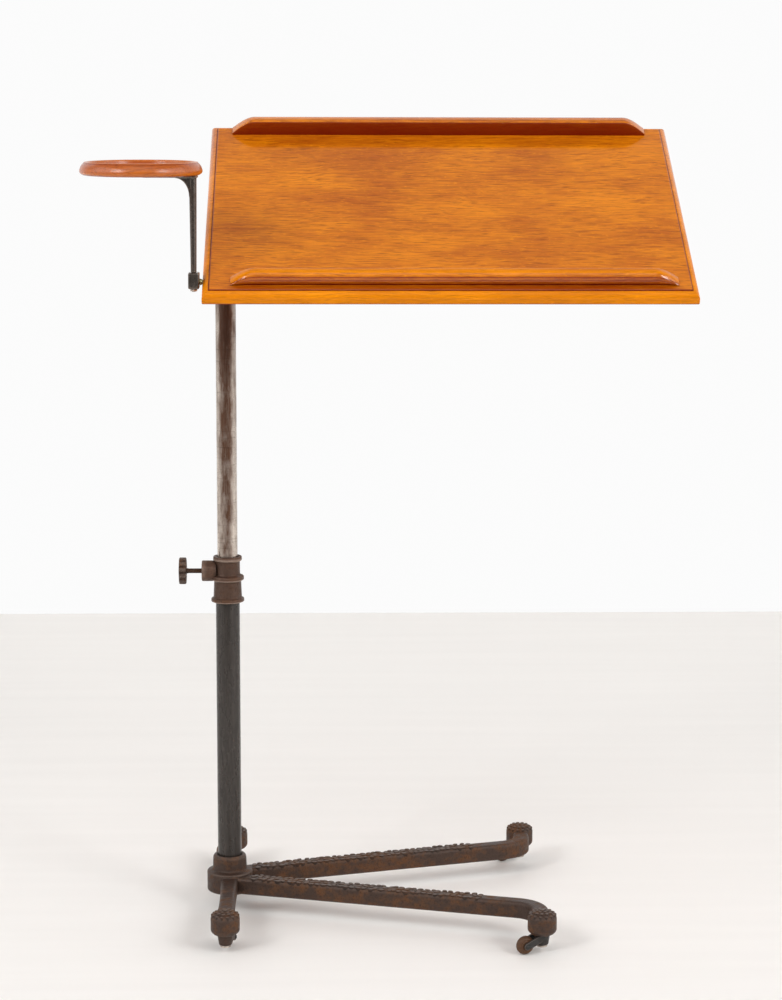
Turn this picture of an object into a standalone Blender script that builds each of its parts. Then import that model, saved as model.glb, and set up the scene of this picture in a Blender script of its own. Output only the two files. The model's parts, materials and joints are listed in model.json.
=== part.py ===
"""Adjustable reading stand of oak, steel and cast iron.

An oak board with two ledges tilts on a steel bar in a cast head. The head turns on a steel pole, the pole
slides in a painted tube, and the tube stands in a cast-iron base on four castors. A small turned tray on an
iron arm is kept level beside the board.

Metres, +Z up. The origin is on the floor under the middle of the stand's outline. The reader sits at -Y, and
the board reaches out to +X from the column.
"""

import math

import bmesh
import bpy
from mathutils import Matrix, Vector

# Fits and facets
GAP = 0.0003
MERGE = 0.000001
SHARP_ANGLE = math.radians(35.0)
FINE_SIDES = 40
ROUND_SIDES = 28
SMALL_SIDES = 18
PIN_SIDES = 12
ARC_STEPS = 6
COUNTERSINK_FLUSH = 0.0002

# Reading board, in its own frame: X along the width, Y up the slope, Z out of the face
BOARD_WIDTH = 0.608
BOARD_DEPTH = 0.412
BOARD_THICKNESS = 0.0165
BOARD_OVERHANG = 0.0226
BOARD_TILT = math.radians(28.0)
EDGE_INSET = 0.008
EDGE_QUIRK = 0.0015
EDGE_FLAT = 0.0065

# Tilt axis, below the board and across the top of the column
TILT_AXIS_HEIGHT = 0.8788
TILT_AXIS_FROM_FRONT = 0.190
TILT_AXIS_DROP = 0.038

# Ledges, housed in shallow grooves of the board
LEDGE_LENGTH = 0.549
LEDGE_HOUSING = 0.003
LEDGE_END_RUN = 0.030
LEDGE_TIP = 0.0022
FRONT_LEDGE_LEFT = 0.0345
FRONT_LEDGE_SETBACK = 0.0165
FRONT_LEDGE_HEIGHT = 0.0155
FRONT_LEDGE_THICKNESS = 0.018
FRONT_LEDGE_FLAT = 0.008
FRONT_LEDGE_NOSE = 0.005
FRONT_LEDGE_UNDERCUT = 0.0015
REAR_LEDGE_LEFT = 0.0285
REAR_LEDGE_SETBACK = 0.010
REAR_LEDGE_HEIGHT = 0.0205
REAR_LEDGE_THICKNESS = 0.017
REAR_LEDGE_FRONT_ROUND = 0.002
REAR_LEDGE_BACK_ROUND = 0.006

# Wood screws
LEDGE_SCREW_PITCH = 0.205
LEDGE_SCREW_BITE = 0.009
BRACKET_SCREW_BITE = 0.011
TRAY_SCREW_BITE = 0.007
WOOD_SCREW_HEAD_R = 0.0038
WOOD_SCREW_R = 0.0018
WOOD_SCREW_TIP = 0.003

# Telescopic column
TUBE_R = 0.01565
TUBE_WALL = 0.0021
POLE_R = 0.0132
POLE_WALL = 0.0025
POLE_LENGTH = 0.590

# Clamp collar on the tube, as heights above its lower face
COLLAR_BASE = 0.4165
COLLAR_FOOT_R = 0.0216
COLLAR_FOOT_HEIGHT = 0.0067
COLLAR_DRUM_R = 0.0176
COLLAR_DRUM_FLARE = 0.0008
COLLAR_DRUM_HEIGHT = 0.0218
COLLAR_BELT_R = 0.0213
COLLAR_BELT_HEIGHT = 0.0083
COLLAR_NECK_R = 0.0162
COLLAR_NECK_HEIGHT = 0.018
COLLAR_RIM_R = 0.0189
COLLAR_RIM_HEIGHT = 0.0053
COLLAR_ARRIS = 0.001
COLLAR_SOCKET_DEPTH = 0.030
COLLAR_BOSS_R = 0.0136
COLLAR_BOSS_REACH = 0.0336
COLLAR_BOSS_HEIGHT = 0.0405

# Thumbscrews with fluted heads
SCREW_R = 0.003
KNOB_FLUTES = 12
KNOB_FLUTE_STEPS = 3
KNOB_FLUTE_DEPTH = 0.0016
KNOB_ARRIS = 0.0014
KNOB_NECK_R = 0.0055
KNOB_NECK = 0.003
HEIGHT_KNOB_R = 0.0180
HEIGHT_KNOB_THICKNESS = 0.0100
HEIGHT_SCREW_SHOW = 0.0202
HEAD_KNOB_R = 0.0130
HEAD_KNOB_THICKNESS = 0.0080
HEAD_SCREW_SHOW = 0.0090

# Cast head on top of the pole
HEAD_CROWN = 0.018
HEAD_SLEEVE_R = 0.0190
HEAD_SLEEVE_DEPTH = 0.044
HEAD_SHOULDER = 0.005
HEAD_BARREL_R = 0.0140
HEAD_BARREL_PROUD = 0.0012
HEAD_BARREL_RIGHT = 0.050
HEAD_BOSS_R = 0.0085
HEAD_BOSS_STAND = 0.006
HEAD_ARRIS = 0.0015
SWIVEL_SCREW_DROP = 0.042
TILT_SCREW_X = 0.0360

# Tilt bar and the brackets that carry the board on it
BAR_R = 0.0070
BAR_FLANGE_R = 0.0105
BAR_FLANGE = 0.0030
BAR_END = 0.425
BAR_COLLAR_R = 0.0120
BAR_COLLAR_LENGTH = 0.009
BRACKET_LEFT_X = 0.115
BRACKET_PITCH = 0.285
BRACKET_WIDTH = 0.028
BRACKET_BOSS_R = 0.0120
BRACKET_FOOT_LENGTH = 0.092
BRACKET_FOOT = 0.005
BRACKET_WEB = 0.009
BRACKET_WEB_LENGTH = 0.062
BRACKET_SCREW_SPREAD = 0.037
BRACKET_PIN_R = 0.0020

# Tray, arm and the block that carries them on the board's left edge
STUD_FROM_FRONT = 0.038
STUD_R = 0.0030
STUD_BITE = 0.026
STUD_HEAD_R = 0.0050
STUD_HEAD = 0.0025
STUD_SHOULDER_R = 0.0042
STUD_COLLAR_R = 0.0034
STUD_SHOULDER = 0.0028
BLOCK_WIDTH = 0.0135
BLOCK_HEIGHT = 0.0198
BLOCK_BELOW_STUD = 0.0078
BLOCK_WALL = 0.0068
BLOCK_ARRIS = 0.0018
ROD_FROM_STUD = 0.0090
ROD_TOP_R = 0.0046
ROD_R = 0.0036
ROD_SPIGOT_R = 0.0026
ROD_TAIL = 0.0008
ARM_NUT_R = 0.0048
ARM_NUT_HEIGHT = 0.0024
NUT_FLATS = 6
TRAY_LIFT = 0.1303
TRAY_OFFSET = 0.0626
TRAY_R = 0.0748
TRAY_RIM_R = 0.0668
TRAY_HEIGHT = 0.0162
TRAY_WIDEST = 0.0048
TRAY_UNDERCUT = 0.0045
TRAY_RIM_WIDTH = 0.0050
TRAY_RECESS = 0.0060
TRAY_COVE = 0.0030
PLATE_THICKNESS = 0.0032
PLATE_WIDTH = 0.022
PLATE_OVERHANG = 0.0060
PLATE_TIP = 0.0016
GUSSET_RUN = 0.0170
GUSSET_DROP = 0.0225
GUSSET_THICKNESS = 0.0064
TRAY_SCREW_INNER = 0.022
TRAY_SCREW_OUTER = 0.048

# Cast-iron base
HUB_BOTTOM = 0.0235
HUB_R = 0.0300
HUB_SHOULDER = 0.0530
HUB_FOOT_ROUND = 0.002
HUB_SOCKET_R = 0.0227
HUB_SOCKET_ROUND = 0.0030
HUB_SOCKET_FOOT = 0.0552
HUB_TOP = 0.0730
HUB_FLOOR = 0.0060
LEG_WIDTH = 0.0220
LEG_BOTTOM = 0.0256
LEG_TOP = 0.0476
LEG_TOP_CHAMFER = 0.0035
LEG_FOOT_CHAMFER = 0.0020
LEG_ROOT_OFFSET = 0.0150
LEG_BEND_R = 0.036
LEG_TOE = 0.056
SHORT_LEG_WIDTH = 0.0230
SHORT_LEG_BOTTOM = 0.0262
SHORT_LEG_TOP = 0.0466
FOOT_REACH = 0.402
FOOT_SPREAD = 0.189
SHORT_FOOT_SPREAD = 0.183
FOOT_R = 0.0185
FOOT_BOTTOM = 0.0240
FOOT_TOP = 0.0490
FOOT_DOME = 0.0016
FOOT_CAP_R = 0.0120
FOOT_CAP_RISE = 0.0006
FOOT_ARRIS = 0.0036

# Castors: a pintle in each foot, a horn that turns on it, and a wheel behind
PINTLE_R = 0.0040
PINTLE_REACH = 0.018
PINTLE_HEAD_R = 0.0070
PINTLE_HEAD = 0.0025
HORN_R = 0.0098
HORN_LIP = 0.0030
HORN_FOOT_R = 0.0080
HORN_BOTTOM = 0.0100
HORN_ARM = 0.0030
HORN_ARM_R = 0.0046
HORN_ARM_ROOT = 0.0070
WHEEL_R = 0.0120
WHEEL_WIDTH = 0.0110
WHEEL_CROWN = 0.0022
WHEEL_SIDE_GAP = 0.0005
WHEEL_TRAIL = 0.0245
AXLE_R = 0.0020
AXLE_HEAD_R = 0.0032
AXLE_HEAD = 0.0011
CASTOR_TRAIL = {
    "front_left": math.radians(82.0),
    "front_right": math.radians(204.0),
    "rear_left": math.radians(132.0),
    "rear_right": math.radians(176.0),
}

# Values that follow from the sizes above
BOARD_LEFT = -BOARD_OVERHANG
BOARD_RIGHT = BOARD_WIDTH - BOARD_OVERHANG
BOARD_FRONT = -TILT_AXIS_FROM_FRONT
BOARD_REAR = BOARD_DEPTH - TILT_AXIS_FROM_FRONT
BOARD_UNDERSIDE = TILT_AXIS_DROP
BOARD_FACE = TILT_AXIS_DROP + BOARD_THICKNESS
BLOCK_RIGHT = BOARD_LEFT - GAP - STUD_SHOULDER - GAP
ROD_X = BLOCK_RIGHT - BLOCK_WIDTH / 2.0
TRAY_X = ROD_X - TRAY_OFFSET
STUD_Y = BOARD_FRONT + STUD_FROM_FRONT
STUD_Z = BOARD_UNDERSIDE + BOARD_THICKNESS / 2.0
STUD_LEVEL = Matrix.Rotation(BOARD_TILT, 3, "X") @ Vector((0.0, STUD_Y, STUD_Z))
CASTOR_REACH = WHEEL_TRAIL * math.sin(CASTOR_TRAIL["rear_left"]) + WHEEL_R
COLUMN_X = -(BOARD_RIGHT + TRAY_X - TRAY_R) / 2.0
COLUMN_Y = -(SHORT_FOOT_SPREAD + CASTOR_REACH + STUD_LEVEL.y - ROD_FROM_STUD - TRAY_R) / 2.0
POLE_TOP = TILT_AXIS_HEIGHT - HEAD_CROWN
POLE_BOTTOM = POLE_TOP - POLE_LENGTH
TUBE_BORE_R = TUBE_R - TUBE_WALL
HEAD_BARREL_LEFT = HEAD_SLEEVE_R + HEAD_BARREL_PROUD
TUBE_BOTTOM = HUB_BOTTOM + HUB_FLOOR + GAP
TUBE_TOP = COLLAR_BASE + COLLAR_SOCKET_DEPTH - GAP
COLLAR_SCREW_HEIGHT = COLLAR_BASE + COLLAR_BOSS_HEIGHT
BRACKETS = {"left": BRACKET_LEFT_X, "right": BRACKET_LEFT_X + BRACKET_PITCH}
FEET = {
    "front_left": Vector((0.0, -SHORT_FOOT_SPREAD)),
    "front_right": Vector((FOOT_REACH, -FOOT_SPREAD)),
    "rear_left": Vector((0.0, SHORT_FOOT_SPREAD)),
    "rear_right": Vector((FOOT_REACH, FOOT_SPREAD)),
}
TO_PLUS_X = Matrix.Rotation(math.pi / 2.0, 4, "Y")
TO_MINUS_X = Matrix.Rotation(-math.pi / 2.0, 4, "Y")
TO_PLUS_Y = Matrix.Rotation(-math.pi / 2.0, 4, "X")
TO_MINUS_Z = Matrix.Rotation(math.pi, 4, "X")


# Scene helpers


def clear_scene():
    """Start from nothing."""
    for obj in list(bpy.data.objects):
        bpy.data.objects.remove(obj, do_unlink=True)


def finish(name, colour, roughness, metallic):
    """A plain Principled material."""
    material = bpy.data.materials.new(name)
    material.use_nodes = True
    shader = material.node_tree.nodes["Principled BSDF"]
    shader.inputs["Base Color"].default_value = (*colour, 1.0)
    shader.inputs["Roughness"].default_value = roughness
    shader.inputs["Metallic"].default_value = metallic
    material.diffuse_color = (*colour, 1.0)
    return material


def add_axis(name, parent, place):
    """An empty that carries the pieces turning or sliding on one axis."""
    empty = bpy.data.objects.new(name, None)
    bpy.context.collection.objects.link(empty)
    empty.parent = parent
    empty.matrix_basis = place
    return empty


def add_piece(name, bm, material, parent, place=None):
    """A named object from a bmesh, placed under its parent."""
    bmesh.ops.recalc_face_normals(bm, faces=bm.faces)
    mesh = bpy.data.meshes.new(name)
    bm.to_mesh(mesh)
    bm.free()
    mesh.shade_smooth()
    mesh.set_sharp_from_angle(angle=SHARP_ANGLE)
    mesh.materials.append(material)
    obj = bpy.data.objects.new(name, mesh)
    bpy.context.collection.objects.link(obj)
    obj.parent = parent
    obj.matrix_basis = place if place is not None else Matrix()
    return obj


def combine(target, tool, operation):
    """Join a tool to the target, or cut it away, with an exact Boolean."""
    tool.hide_render = True
    tool.display_type = "WIRE"
    modifier = target.modifiers.new(tool.name, "BOOLEAN")
    modifier.operation = operation
    modifier.solver = "EXACT"
    modifier.object = tool


def join(target, *tools):
    for tool in tools:
        combine(target, tool, "UNION")


def cut(target, *tools):
    for tool in tools:
        combine(target, tool, "DIFFERENCE")


def at(x=0.0, y=0.0, z=0.0):
    return Matrix.Translation((x, y, z))


# Shapes


def turned(profile, sides):
    """Spin (radius, height) points about Z. A profile that keeps off the axis is a closed ring section."""
    bm = bmesh.new()
    verts = [bm.verts.new((radius, 0.0, height)) for radius, height in profile]
    edges = [bm.edges.new(pair) for pair in zip(verts, verts[1:])]
    if profile[0][0] > 0.0:
        edges.append(bm.edges.new((verts[-1], verts[0])))
    bmesh.ops.spin(
        bm, geom=verts + edges, cent=(0, 0, 0), axis=(0, 0, 1), angle=math.tau, steps=sides, use_merge=True
    )
    bmesh.ops.remove_doubles(bm, verts=bm.verts, dist=MERGE)
    return bm


def rod_shape(radius, low, high, sides):
    """A plain cylinder on Z between two heights."""
    return turned([(0.0, high), (radius, high), (radius, low), (0.0, low)], sides)


def tube_shape(outer, inner, low, high, sides):
    """A tube on Z between two heights."""
    return turned([(inner, high), (outer, high), (outer, low), (inner, low)], sides)


def lofted(rings):
    """Skin closed rings of equal count and cap both ends."""
    bm = bmesh.new()
    loops = [[bm.verts.new(point) for point in ring] for ring in rings]
    for lower, upper in zip(loops, loops[1:]):
        for i, vert in enumerate(lower):
            j = (i + 1) % len(lower)
            bm.faces.new((vert, lower[j], upper[j], upper[i]))
    bm.faces.new(list(reversed(loops[0])))
    bm.faces.new(loops[-1])
    return bm


def extruded(outline, depth):
    """An outline of (x, z) points given a thickness along Y, centred on it."""
    return lofted([[(x, y, z) for x, z in outline] for y in (depth / 2.0, -depth / 2.0)])


def block(low, high):
    """A rectangular block between two corners."""
    corners = ((low[0], low[1]), (high[0], low[1]), (high[0], high[1]), (low[0], high[1]))
    return lofted([[(x, y, z) for x, y in corners] for z in (low[2], high[2])])


def arc(centre, radius_x, radius_y, start, end, steps=ARC_STEPS):
    """Points of an elliptical arc, ends included."""
    points = []
    for i in range(steps + 1):
        angle = start + (end - start) * i / steps
        points.append((centre[0] + radius_x * math.cos(angle), centre[1] + radius_y * math.sin(angle)))
    return points


def softened(obj, width):
    """A small bevel on every sharp edge of a block."""
    modifier = obj.modifiers.new("arris", "BEVEL")
    modifier.width = width
    modifier.segments = 1
    modifier.limit_method = "ANGLE"
    return obj


def fluted_knob(radius, low, high):
    """A round grip between two heights on Z whose rim is scalloped by flutes."""
    count = KNOB_FLUTES * KNOB_FLUTE_STEPS

    def ring(inset, height):
        points = []
        for i in range(count):
            angle = math.tau * i / count
            swell = abs(math.sin(angle * KNOB_FLUTES / 2.0))
            reach = radius - inset - KNOB_FLUTE_DEPTH * (1.0 - swell)
            points.append((reach * math.cos(angle), reach * math.sin(angle), height))
        return points

    return lofted(
        [ring(KNOB_ARRIS, low), ring(0.0, low + KNOB_ARRIS), ring(0.0, high - KNOB_ARRIS), ring(KNOB_ARRIS, high)]
    )


def thumbscrew(name, length, knob_r, knob_thickness, material, parent, place):
    """A plain-ended screw on local +Z with a neck and a fluted grip at its far end."""
    shank = turned(
        [
            (0.0, length + KNOB_ARRIS),
            (KNOB_NECK_R, length + KNOB_ARRIS),
            (KNOB_NECK_R, length - KNOB_NECK),
            (SCREW_R, length - KNOB_NECK),
            (SCREW_R, 0.0),
            (0.0, 0.0),
        ],
        PIN_SIDES,
    )
    screw = add_piece(name, shank, material, parent, place)
    knob = fluted_knob(knob_r, length, length + knob_thickness)
    join(screw, add_piece(name + ".grip", knob, material, parent, place))
    return screw


def wood_screw(name, length, material, parent, place):
    """A countersunk screw on local +Z with its head face at the origin."""
    shoulder = WOOD_SCREW_HEAD_R - WOOD_SCREW_R
    profile = [
        (0.0, length),
        (WOOD_SCREW_R, length - WOOD_SCREW_TIP),
        (WOOD_SCREW_R, shoulder),
        (WOOD_SCREW_HEAD_R, 0.0),
        (0.0, 0.0),
    ]
    return add_piece(name, turned(profile, PIN_SIDES), material, parent, place)


def screw_hole(name, length, material, parent, place):
    """A cutter for a wood screw: its shape with a gap all round, open at the head."""
    head = WOOD_SCREW_HEAD_R + GAP
    shank = WOOD_SCREW_R + GAP
    profile = [
        (0.0, length + GAP),
        (shank, length + GAP),
        (shank, head - shank),
        (head, 0.0),
        (head, -WOOD_SCREW_HEAD_R),
        (0.0, -WOOD_SCREW_HEAD_R),
    ]
    return add_piece(name, turned(profile, PIN_SIDES), material, parent, place)


# Base


def leg_section(point, across, width, low, high):
    """One eight-sided ring of a leg, upright at a plan point, with the top arrises eased."""
    half = width / 2.0
    outline = (
        (-half + LEG_FOOT_CHAMFER, low),
        (half - LEG_FOOT_CHAMFER, low),
        (half, low + LEG_FOOT_CHAMFER),
        (half, high - LEG_TOP_CHAMFER),
        (half - LEG_TOP_CHAMFER, high),
        (-half + LEG_TOP_CHAMFER, high),
        (-half, high - LEG_TOP_CHAMFER),
        (-half, low + LEG_FOOT_CHAMFER),
    )
    return [(point.x + across.x * u, point.y + across.y * u, z) for u, z in outline]


def long_leg_path(side):
    """Plan points and sideways directions of a long leg: straight out, then bent outwards to its foot."""
    root = Vector((0.0, side * LEG_ROOT_OFFSET))
    foot = Vector((FOOT_REACH, side * FOOT_SPREAD))
    corner = foot - Vector((0.0, side * LEG_TOE))
    along = (corner - root).normalized()
    turn = math.acos(max(-1.0, min(1.0, along.y * side)))
    tangent = LEG_BEND_R * math.tan(turn / 2.0)
    start = corner - along * tangent
    inward = Vector((-along.y, along.x)) * side
    centre = start + inward * LEG_BEND_R
    stations = [(root, along)]
    for i in range(ARC_STEPS + 1):
        angle = turn * i / ARC_STEPS
        heading = along * math.cos(angle) + inward * math.sin(angle)
        out = -inward * math.cos(angle) + along * math.sin(angle)
        stations.append((centre + out * LEG_BEND_R, heading))
    stations.append((foot, stations[-1][1]))
    return [(point, Vector((-heading.y, heading.x))) for point, heading in stations]


def build_base(column, iron):
    """Hub, two long legs, two short legs and four drum feet in one casting."""
    hub_profile = [
        (0.0, HUB_TOP),
        (HUB_SOCKET_R - HUB_SOCKET_ROUND, HUB_TOP),
        (HUB_SOCKET_R, HUB_TOP - HUB_SOCKET_ROUND),
        (HUB_SOCKET_R, HUB_SOCKET_FOOT),
        (HUB_R, HUB_SHOULDER),
        (HUB_R, HUB_BOTTOM + HUB_FOOT_ROUND),
        (HUB_R - HUB_FOOT_ROUND, HUB_BOTTOM),
        (0.0, HUB_BOTTOM),
    ]
    base = add_piece("base_casting", turned(hub_profile, ROUND_SIDES), iron, column)
    for side, name in ((-1.0, "front"), (1.0, "rear")):
        rings = [
            leg_section(point, across, LEG_WIDTH, LEG_BOTTOM, LEG_TOP) for point, across in long_leg_path(side)
        ]
        join(base, add_piece(f"long_leg.{name}", lofted(rings), iron, column))
        across = Vector((-side, 0.0))
        rings = [
            leg_section(Vector((0.0, y)), across, SHORT_LEG_WIDTH, SHORT_LEG_BOTTOM, SHORT_LEG_TOP)
            for y in (side * HUB_R / 2.0, side * SHORT_FOOT_SPREAD)
        ]
        join(base, add_piece(f"short_leg.{name}", lofted(rings), iron, column))
    foot_profile = [
        (0.0, FOOT_TOP + FOOT_DOME + FOOT_CAP_RISE),
        (FOOT_CAP_R, FOOT_TOP + FOOT_DOME),
        (FOOT_R - FOOT_ARRIS, FOOT_TOP),
        (FOOT_R, FOOT_TOP - FOOT_ARRIS),
        (FOOT_R, FOOT_BOTTOM + FOOT_ARRIS),
        (FOOT_R - FOOT_ARRIS, FOOT_BOTTOM),
        (0.0, FOOT_BOTTOM),
    ]
    for name, spot in FEET.items():
        place = at(spot.x, spot.y)
        join(base, add_piece(f"foot.{name}", turned(foot_profile, SMALL_SIDES), iron, column, place))
    socket = rod_shape(TUBE_R + GAP, HUB_BOTTOM + HUB_FLOOR, HUB_TOP + HUB_FLOOR, ROUND_SIDES)
    cut(base, add_piece("hub.socket", socket, iron, column))
    for name, spot in FEET.items():
        hole = rod_shape(PINTLE_R + GAP, HORN_BOTTOM, FOOT_BOTTOM + PINTLE_REACH + GAP, PIN_SIDES)
        cut(base, add_piece(f"pintle_hole.{name}", hole, iron, column, at(spot.x, spot.y)))


# Castors


def build_castor(name, spot, column, iron, steel, roller):
    """Pintle, horn, axle and wheel of one castor, in a frame whose +X is the way the wheel trails."""
    swivel = add_axis(f"castor_axis_{name}", column, at(spot.x, spot.y) @ Matrix.Rotation(CASTOR_TRAIL[name], 4, "Z"))
    pintle_profile = [
        (0.0, FOOT_BOTTOM + PINTLE_REACH),
        (PINTLE_R, FOOT_BOTTOM + PINTLE_REACH),
        (PINTLE_R, HORN_BOTTOM - GAP),
        (PINTLE_HEAD_R, HORN_BOTTOM - GAP),
        (PINTLE_HEAD_R, HORN_BOTTOM - GAP - PINTLE_HEAD),
        (0.0, HORN_BOTTOM - GAP - PINTLE_HEAD),
    ]
    add_piece(f"castor_pintle_{name}", turned(pintle_profile, PIN_SIDES), steel, swivel)
    boss_profile = [
        (0.0, FOOT_BOTTOM - GAP),
        (HORN_R, FOOT_BOTTOM - GAP),
        (HORN_R, FOOT_BOTTOM - GAP - HORN_LIP),
        (HORN_FOOT_R, HORN_BOTTOM),
        (0.0, HORN_BOTTOM),
    ]
    horn = add_piece(f"castor_horn_{name}", turned(boss_profile, SMALL_SIDES), iron, swivel)
    arm_inner = WHEEL_WIDTH / 2.0 + WHEEL_SIDE_GAP
    arm_middle = arm_inner + HORN_ARM / 2.0
    arm_outer = arm_inner + HORN_ARM
    high = Vector((HORN_ARM_ROOT, FOOT_BOTTOM - GAP - HORN_ARM_R))
    low = Vector((WHEEL_TRAIL, WHEEL_R))
    lean = math.atan2(low.y - high.y, low.x - high.x)
    outline = arc(low, HORN_ARM_R, HORN_ARM_R, lean - math.pi / 2.0, lean + math.pi / 2.0)
    outline += arc(high, HORN_ARM_R, HORN_ARM_R, lean + math.pi / 2.0, lean + math.pi * 1.5)
    axle_hole = rod_shape(AXLE_R + GAP, -WHEEL_TRAIL, WHEEL_TRAIL, PIN_SIDES)
    axle_place = at(WHEEL_TRAIL, 0.0, WHEEL_R) @ TO_PLUS_Y
    for side in (-1.0, 1.0):
        arm = extruded(outline, HORN_ARM)
        join(horn, add_piece(f"horn_arm_{name}.{side:+.0f}", arm, iron, swivel, at(y=side * arm_middle)))
    pintle_hole = rod_shape(PINTLE_R + GAP, HORN_BOTTOM - PINTLE_R, FOOT_BOTTOM + PINTLE_R, PIN_SIDES)
    cut(
        horn,
        add_piece(f"horn_bore_{name}", pintle_hole, iron, swivel),
        add_piece(f"axle_hole_{name}", axle_hole, iron, swivel, axle_place),
    )
    seat = arm_outer + GAP
    axle_profile = [
        (0.0, seat + AXLE_HEAD),
        (AXLE_R, seat + AXLE_HEAD),
        (AXLE_HEAD_R, seat),
        (AXLE_R, seat),
        (AXLE_R, -seat),
        (AXLE_HEAD_R, -seat),
        (AXLE_R, -seat - AXLE_HEAD),
        (0.0, -seat - AXLE_HEAD),
    ]
    add_piece(f"castor_axle_{name}", turned(axle_profile, PIN_SIDES), steel, swivel, axle_place)
    half = WHEEL_WIDTH / 2.0
    wheel_profile = [
        (AXLE_R + GAP, half),
        (WHEEL_R - WHEEL_CROWN, half),
        (WHEEL_R, half - WHEEL_CROWN),
        (WHEEL_R, -half + WHEEL_CROWN),
        (WHEEL_R - WHEEL_CROWN, -half),
        (AXLE_R + GAP, -half),
    ]
    add_piece(f"castor_wheel_{name}", turned(wheel_profile, SMALL_SIDES), roller, swivel, axle_place)


# Column


def build_column(column, paint, steel, iron):
    """Outer tube, inner pole, clamp collar and its thumbscrew."""
    tube = tube_shape(TUBE_R, TUBE_BORE_R, TUBE_BOTTOM, TUBE_TOP, ROUND_SIDES)
    add_piece("lower_tube", tube, paint, column)
    pole = tube_shape(POLE_R, POLE_R - POLE_WALL, POLE_BOTTOM, POLE_TOP, ROUND_SIDES)
    add_piece("inner_pole", pole, steel, column)

    foot_top = COLLAR_BASE + COLLAR_FOOT_HEIGHT
    drum_top = foot_top + COLLAR_DRUM_HEIGHT
    belt_top = drum_top + COLLAR_BELT_HEIGHT
    neck_top = belt_top + COLLAR_NECK_HEIGHT
    top = neck_top + COLLAR_RIM_HEIGHT
    collar_profile = [
        (0.0, top),
        (COLLAR_RIM_R - COLLAR_ARRIS, top),
        (COLLAR_RIM_R, top - COLLAR_ARRIS),
        (COLLAR_RIM_R, neck_top),
        (COLLAR_NECK_R, neck_top),
        (COLLAR_NECK_R, belt_top),
        (COLLAR_BELT_R, belt_top - COLLAR_ARRIS),
        (COLLAR_BELT_R, drum_top + COLLAR_ARRIS),
        (COLLAR_DRUM_R, drum_top),
        (COLLAR_DRUM_R + COLLAR_DRUM_FLARE, foot_top),
        (COLLAR_FOOT_R, foot_top - COLLAR_ARRIS),
        (COLLAR_FOOT_R, COLLAR_BASE),
        (0.0, COLLAR_BASE),
    ]
    collar = add_piece("clamp_collar", turned(collar_profile, ROUND_SIDES), iron, column)
    screw_height = at(z=COLLAR_SCREW_HEIGHT) @ TO_MINUS_X
    boss = turned(
        [
            (0.0, COLLAR_BOSS_REACH),
            (COLLAR_BOSS_R - COLLAR_ARRIS, COLLAR_BOSS_REACH),
            (COLLAR_BOSS_R, COLLAR_BOSS_REACH - COLLAR_ARRIS),
            (COLLAR_BOSS_R, 0.0),
            (0.0, 0.0),
        ],
        SMALL_SIDES,
    )
    join(collar, add_piece("collar.boss", boss, iron, column, screw_height))
    socket = rod_shape(TUBE_R + GAP, HUB_TOP, COLLAR_BASE + COLLAR_SOCKET_DEPTH, ROUND_SIDES)
    bore = rod_shape(TUBE_BORE_R, HUB_TOP, top + COLLAR_RIM_HEIGHT, ROUND_SIDES)
    hole = rod_shape(SCREW_R + GAP, 0.0, COLLAR_BOSS_REACH + SCREW_R, PIN_SIDES)
    cut(
        collar,
        add_piece("collar.socket", socket, iron, column),
        add_piece("collar.bore", bore, iron, column),
        add_piece("collar.screw_hole", hole, iron, column, screw_height),
    )
    tip = POLE_R + GAP
    length = COLLAR_BOSS_REACH + HEIGHT_SCREW_SHOW - tip
    place = at(-tip, 0.0, COLLAR_SCREW_HEIGHT) @ TO_MINUS_X
    thumbscrew("height_screw", length, HEIGHT_KNOB_R, HEIGHT_KNOB_THICKNESS, iron, column, place)


# Head


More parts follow.
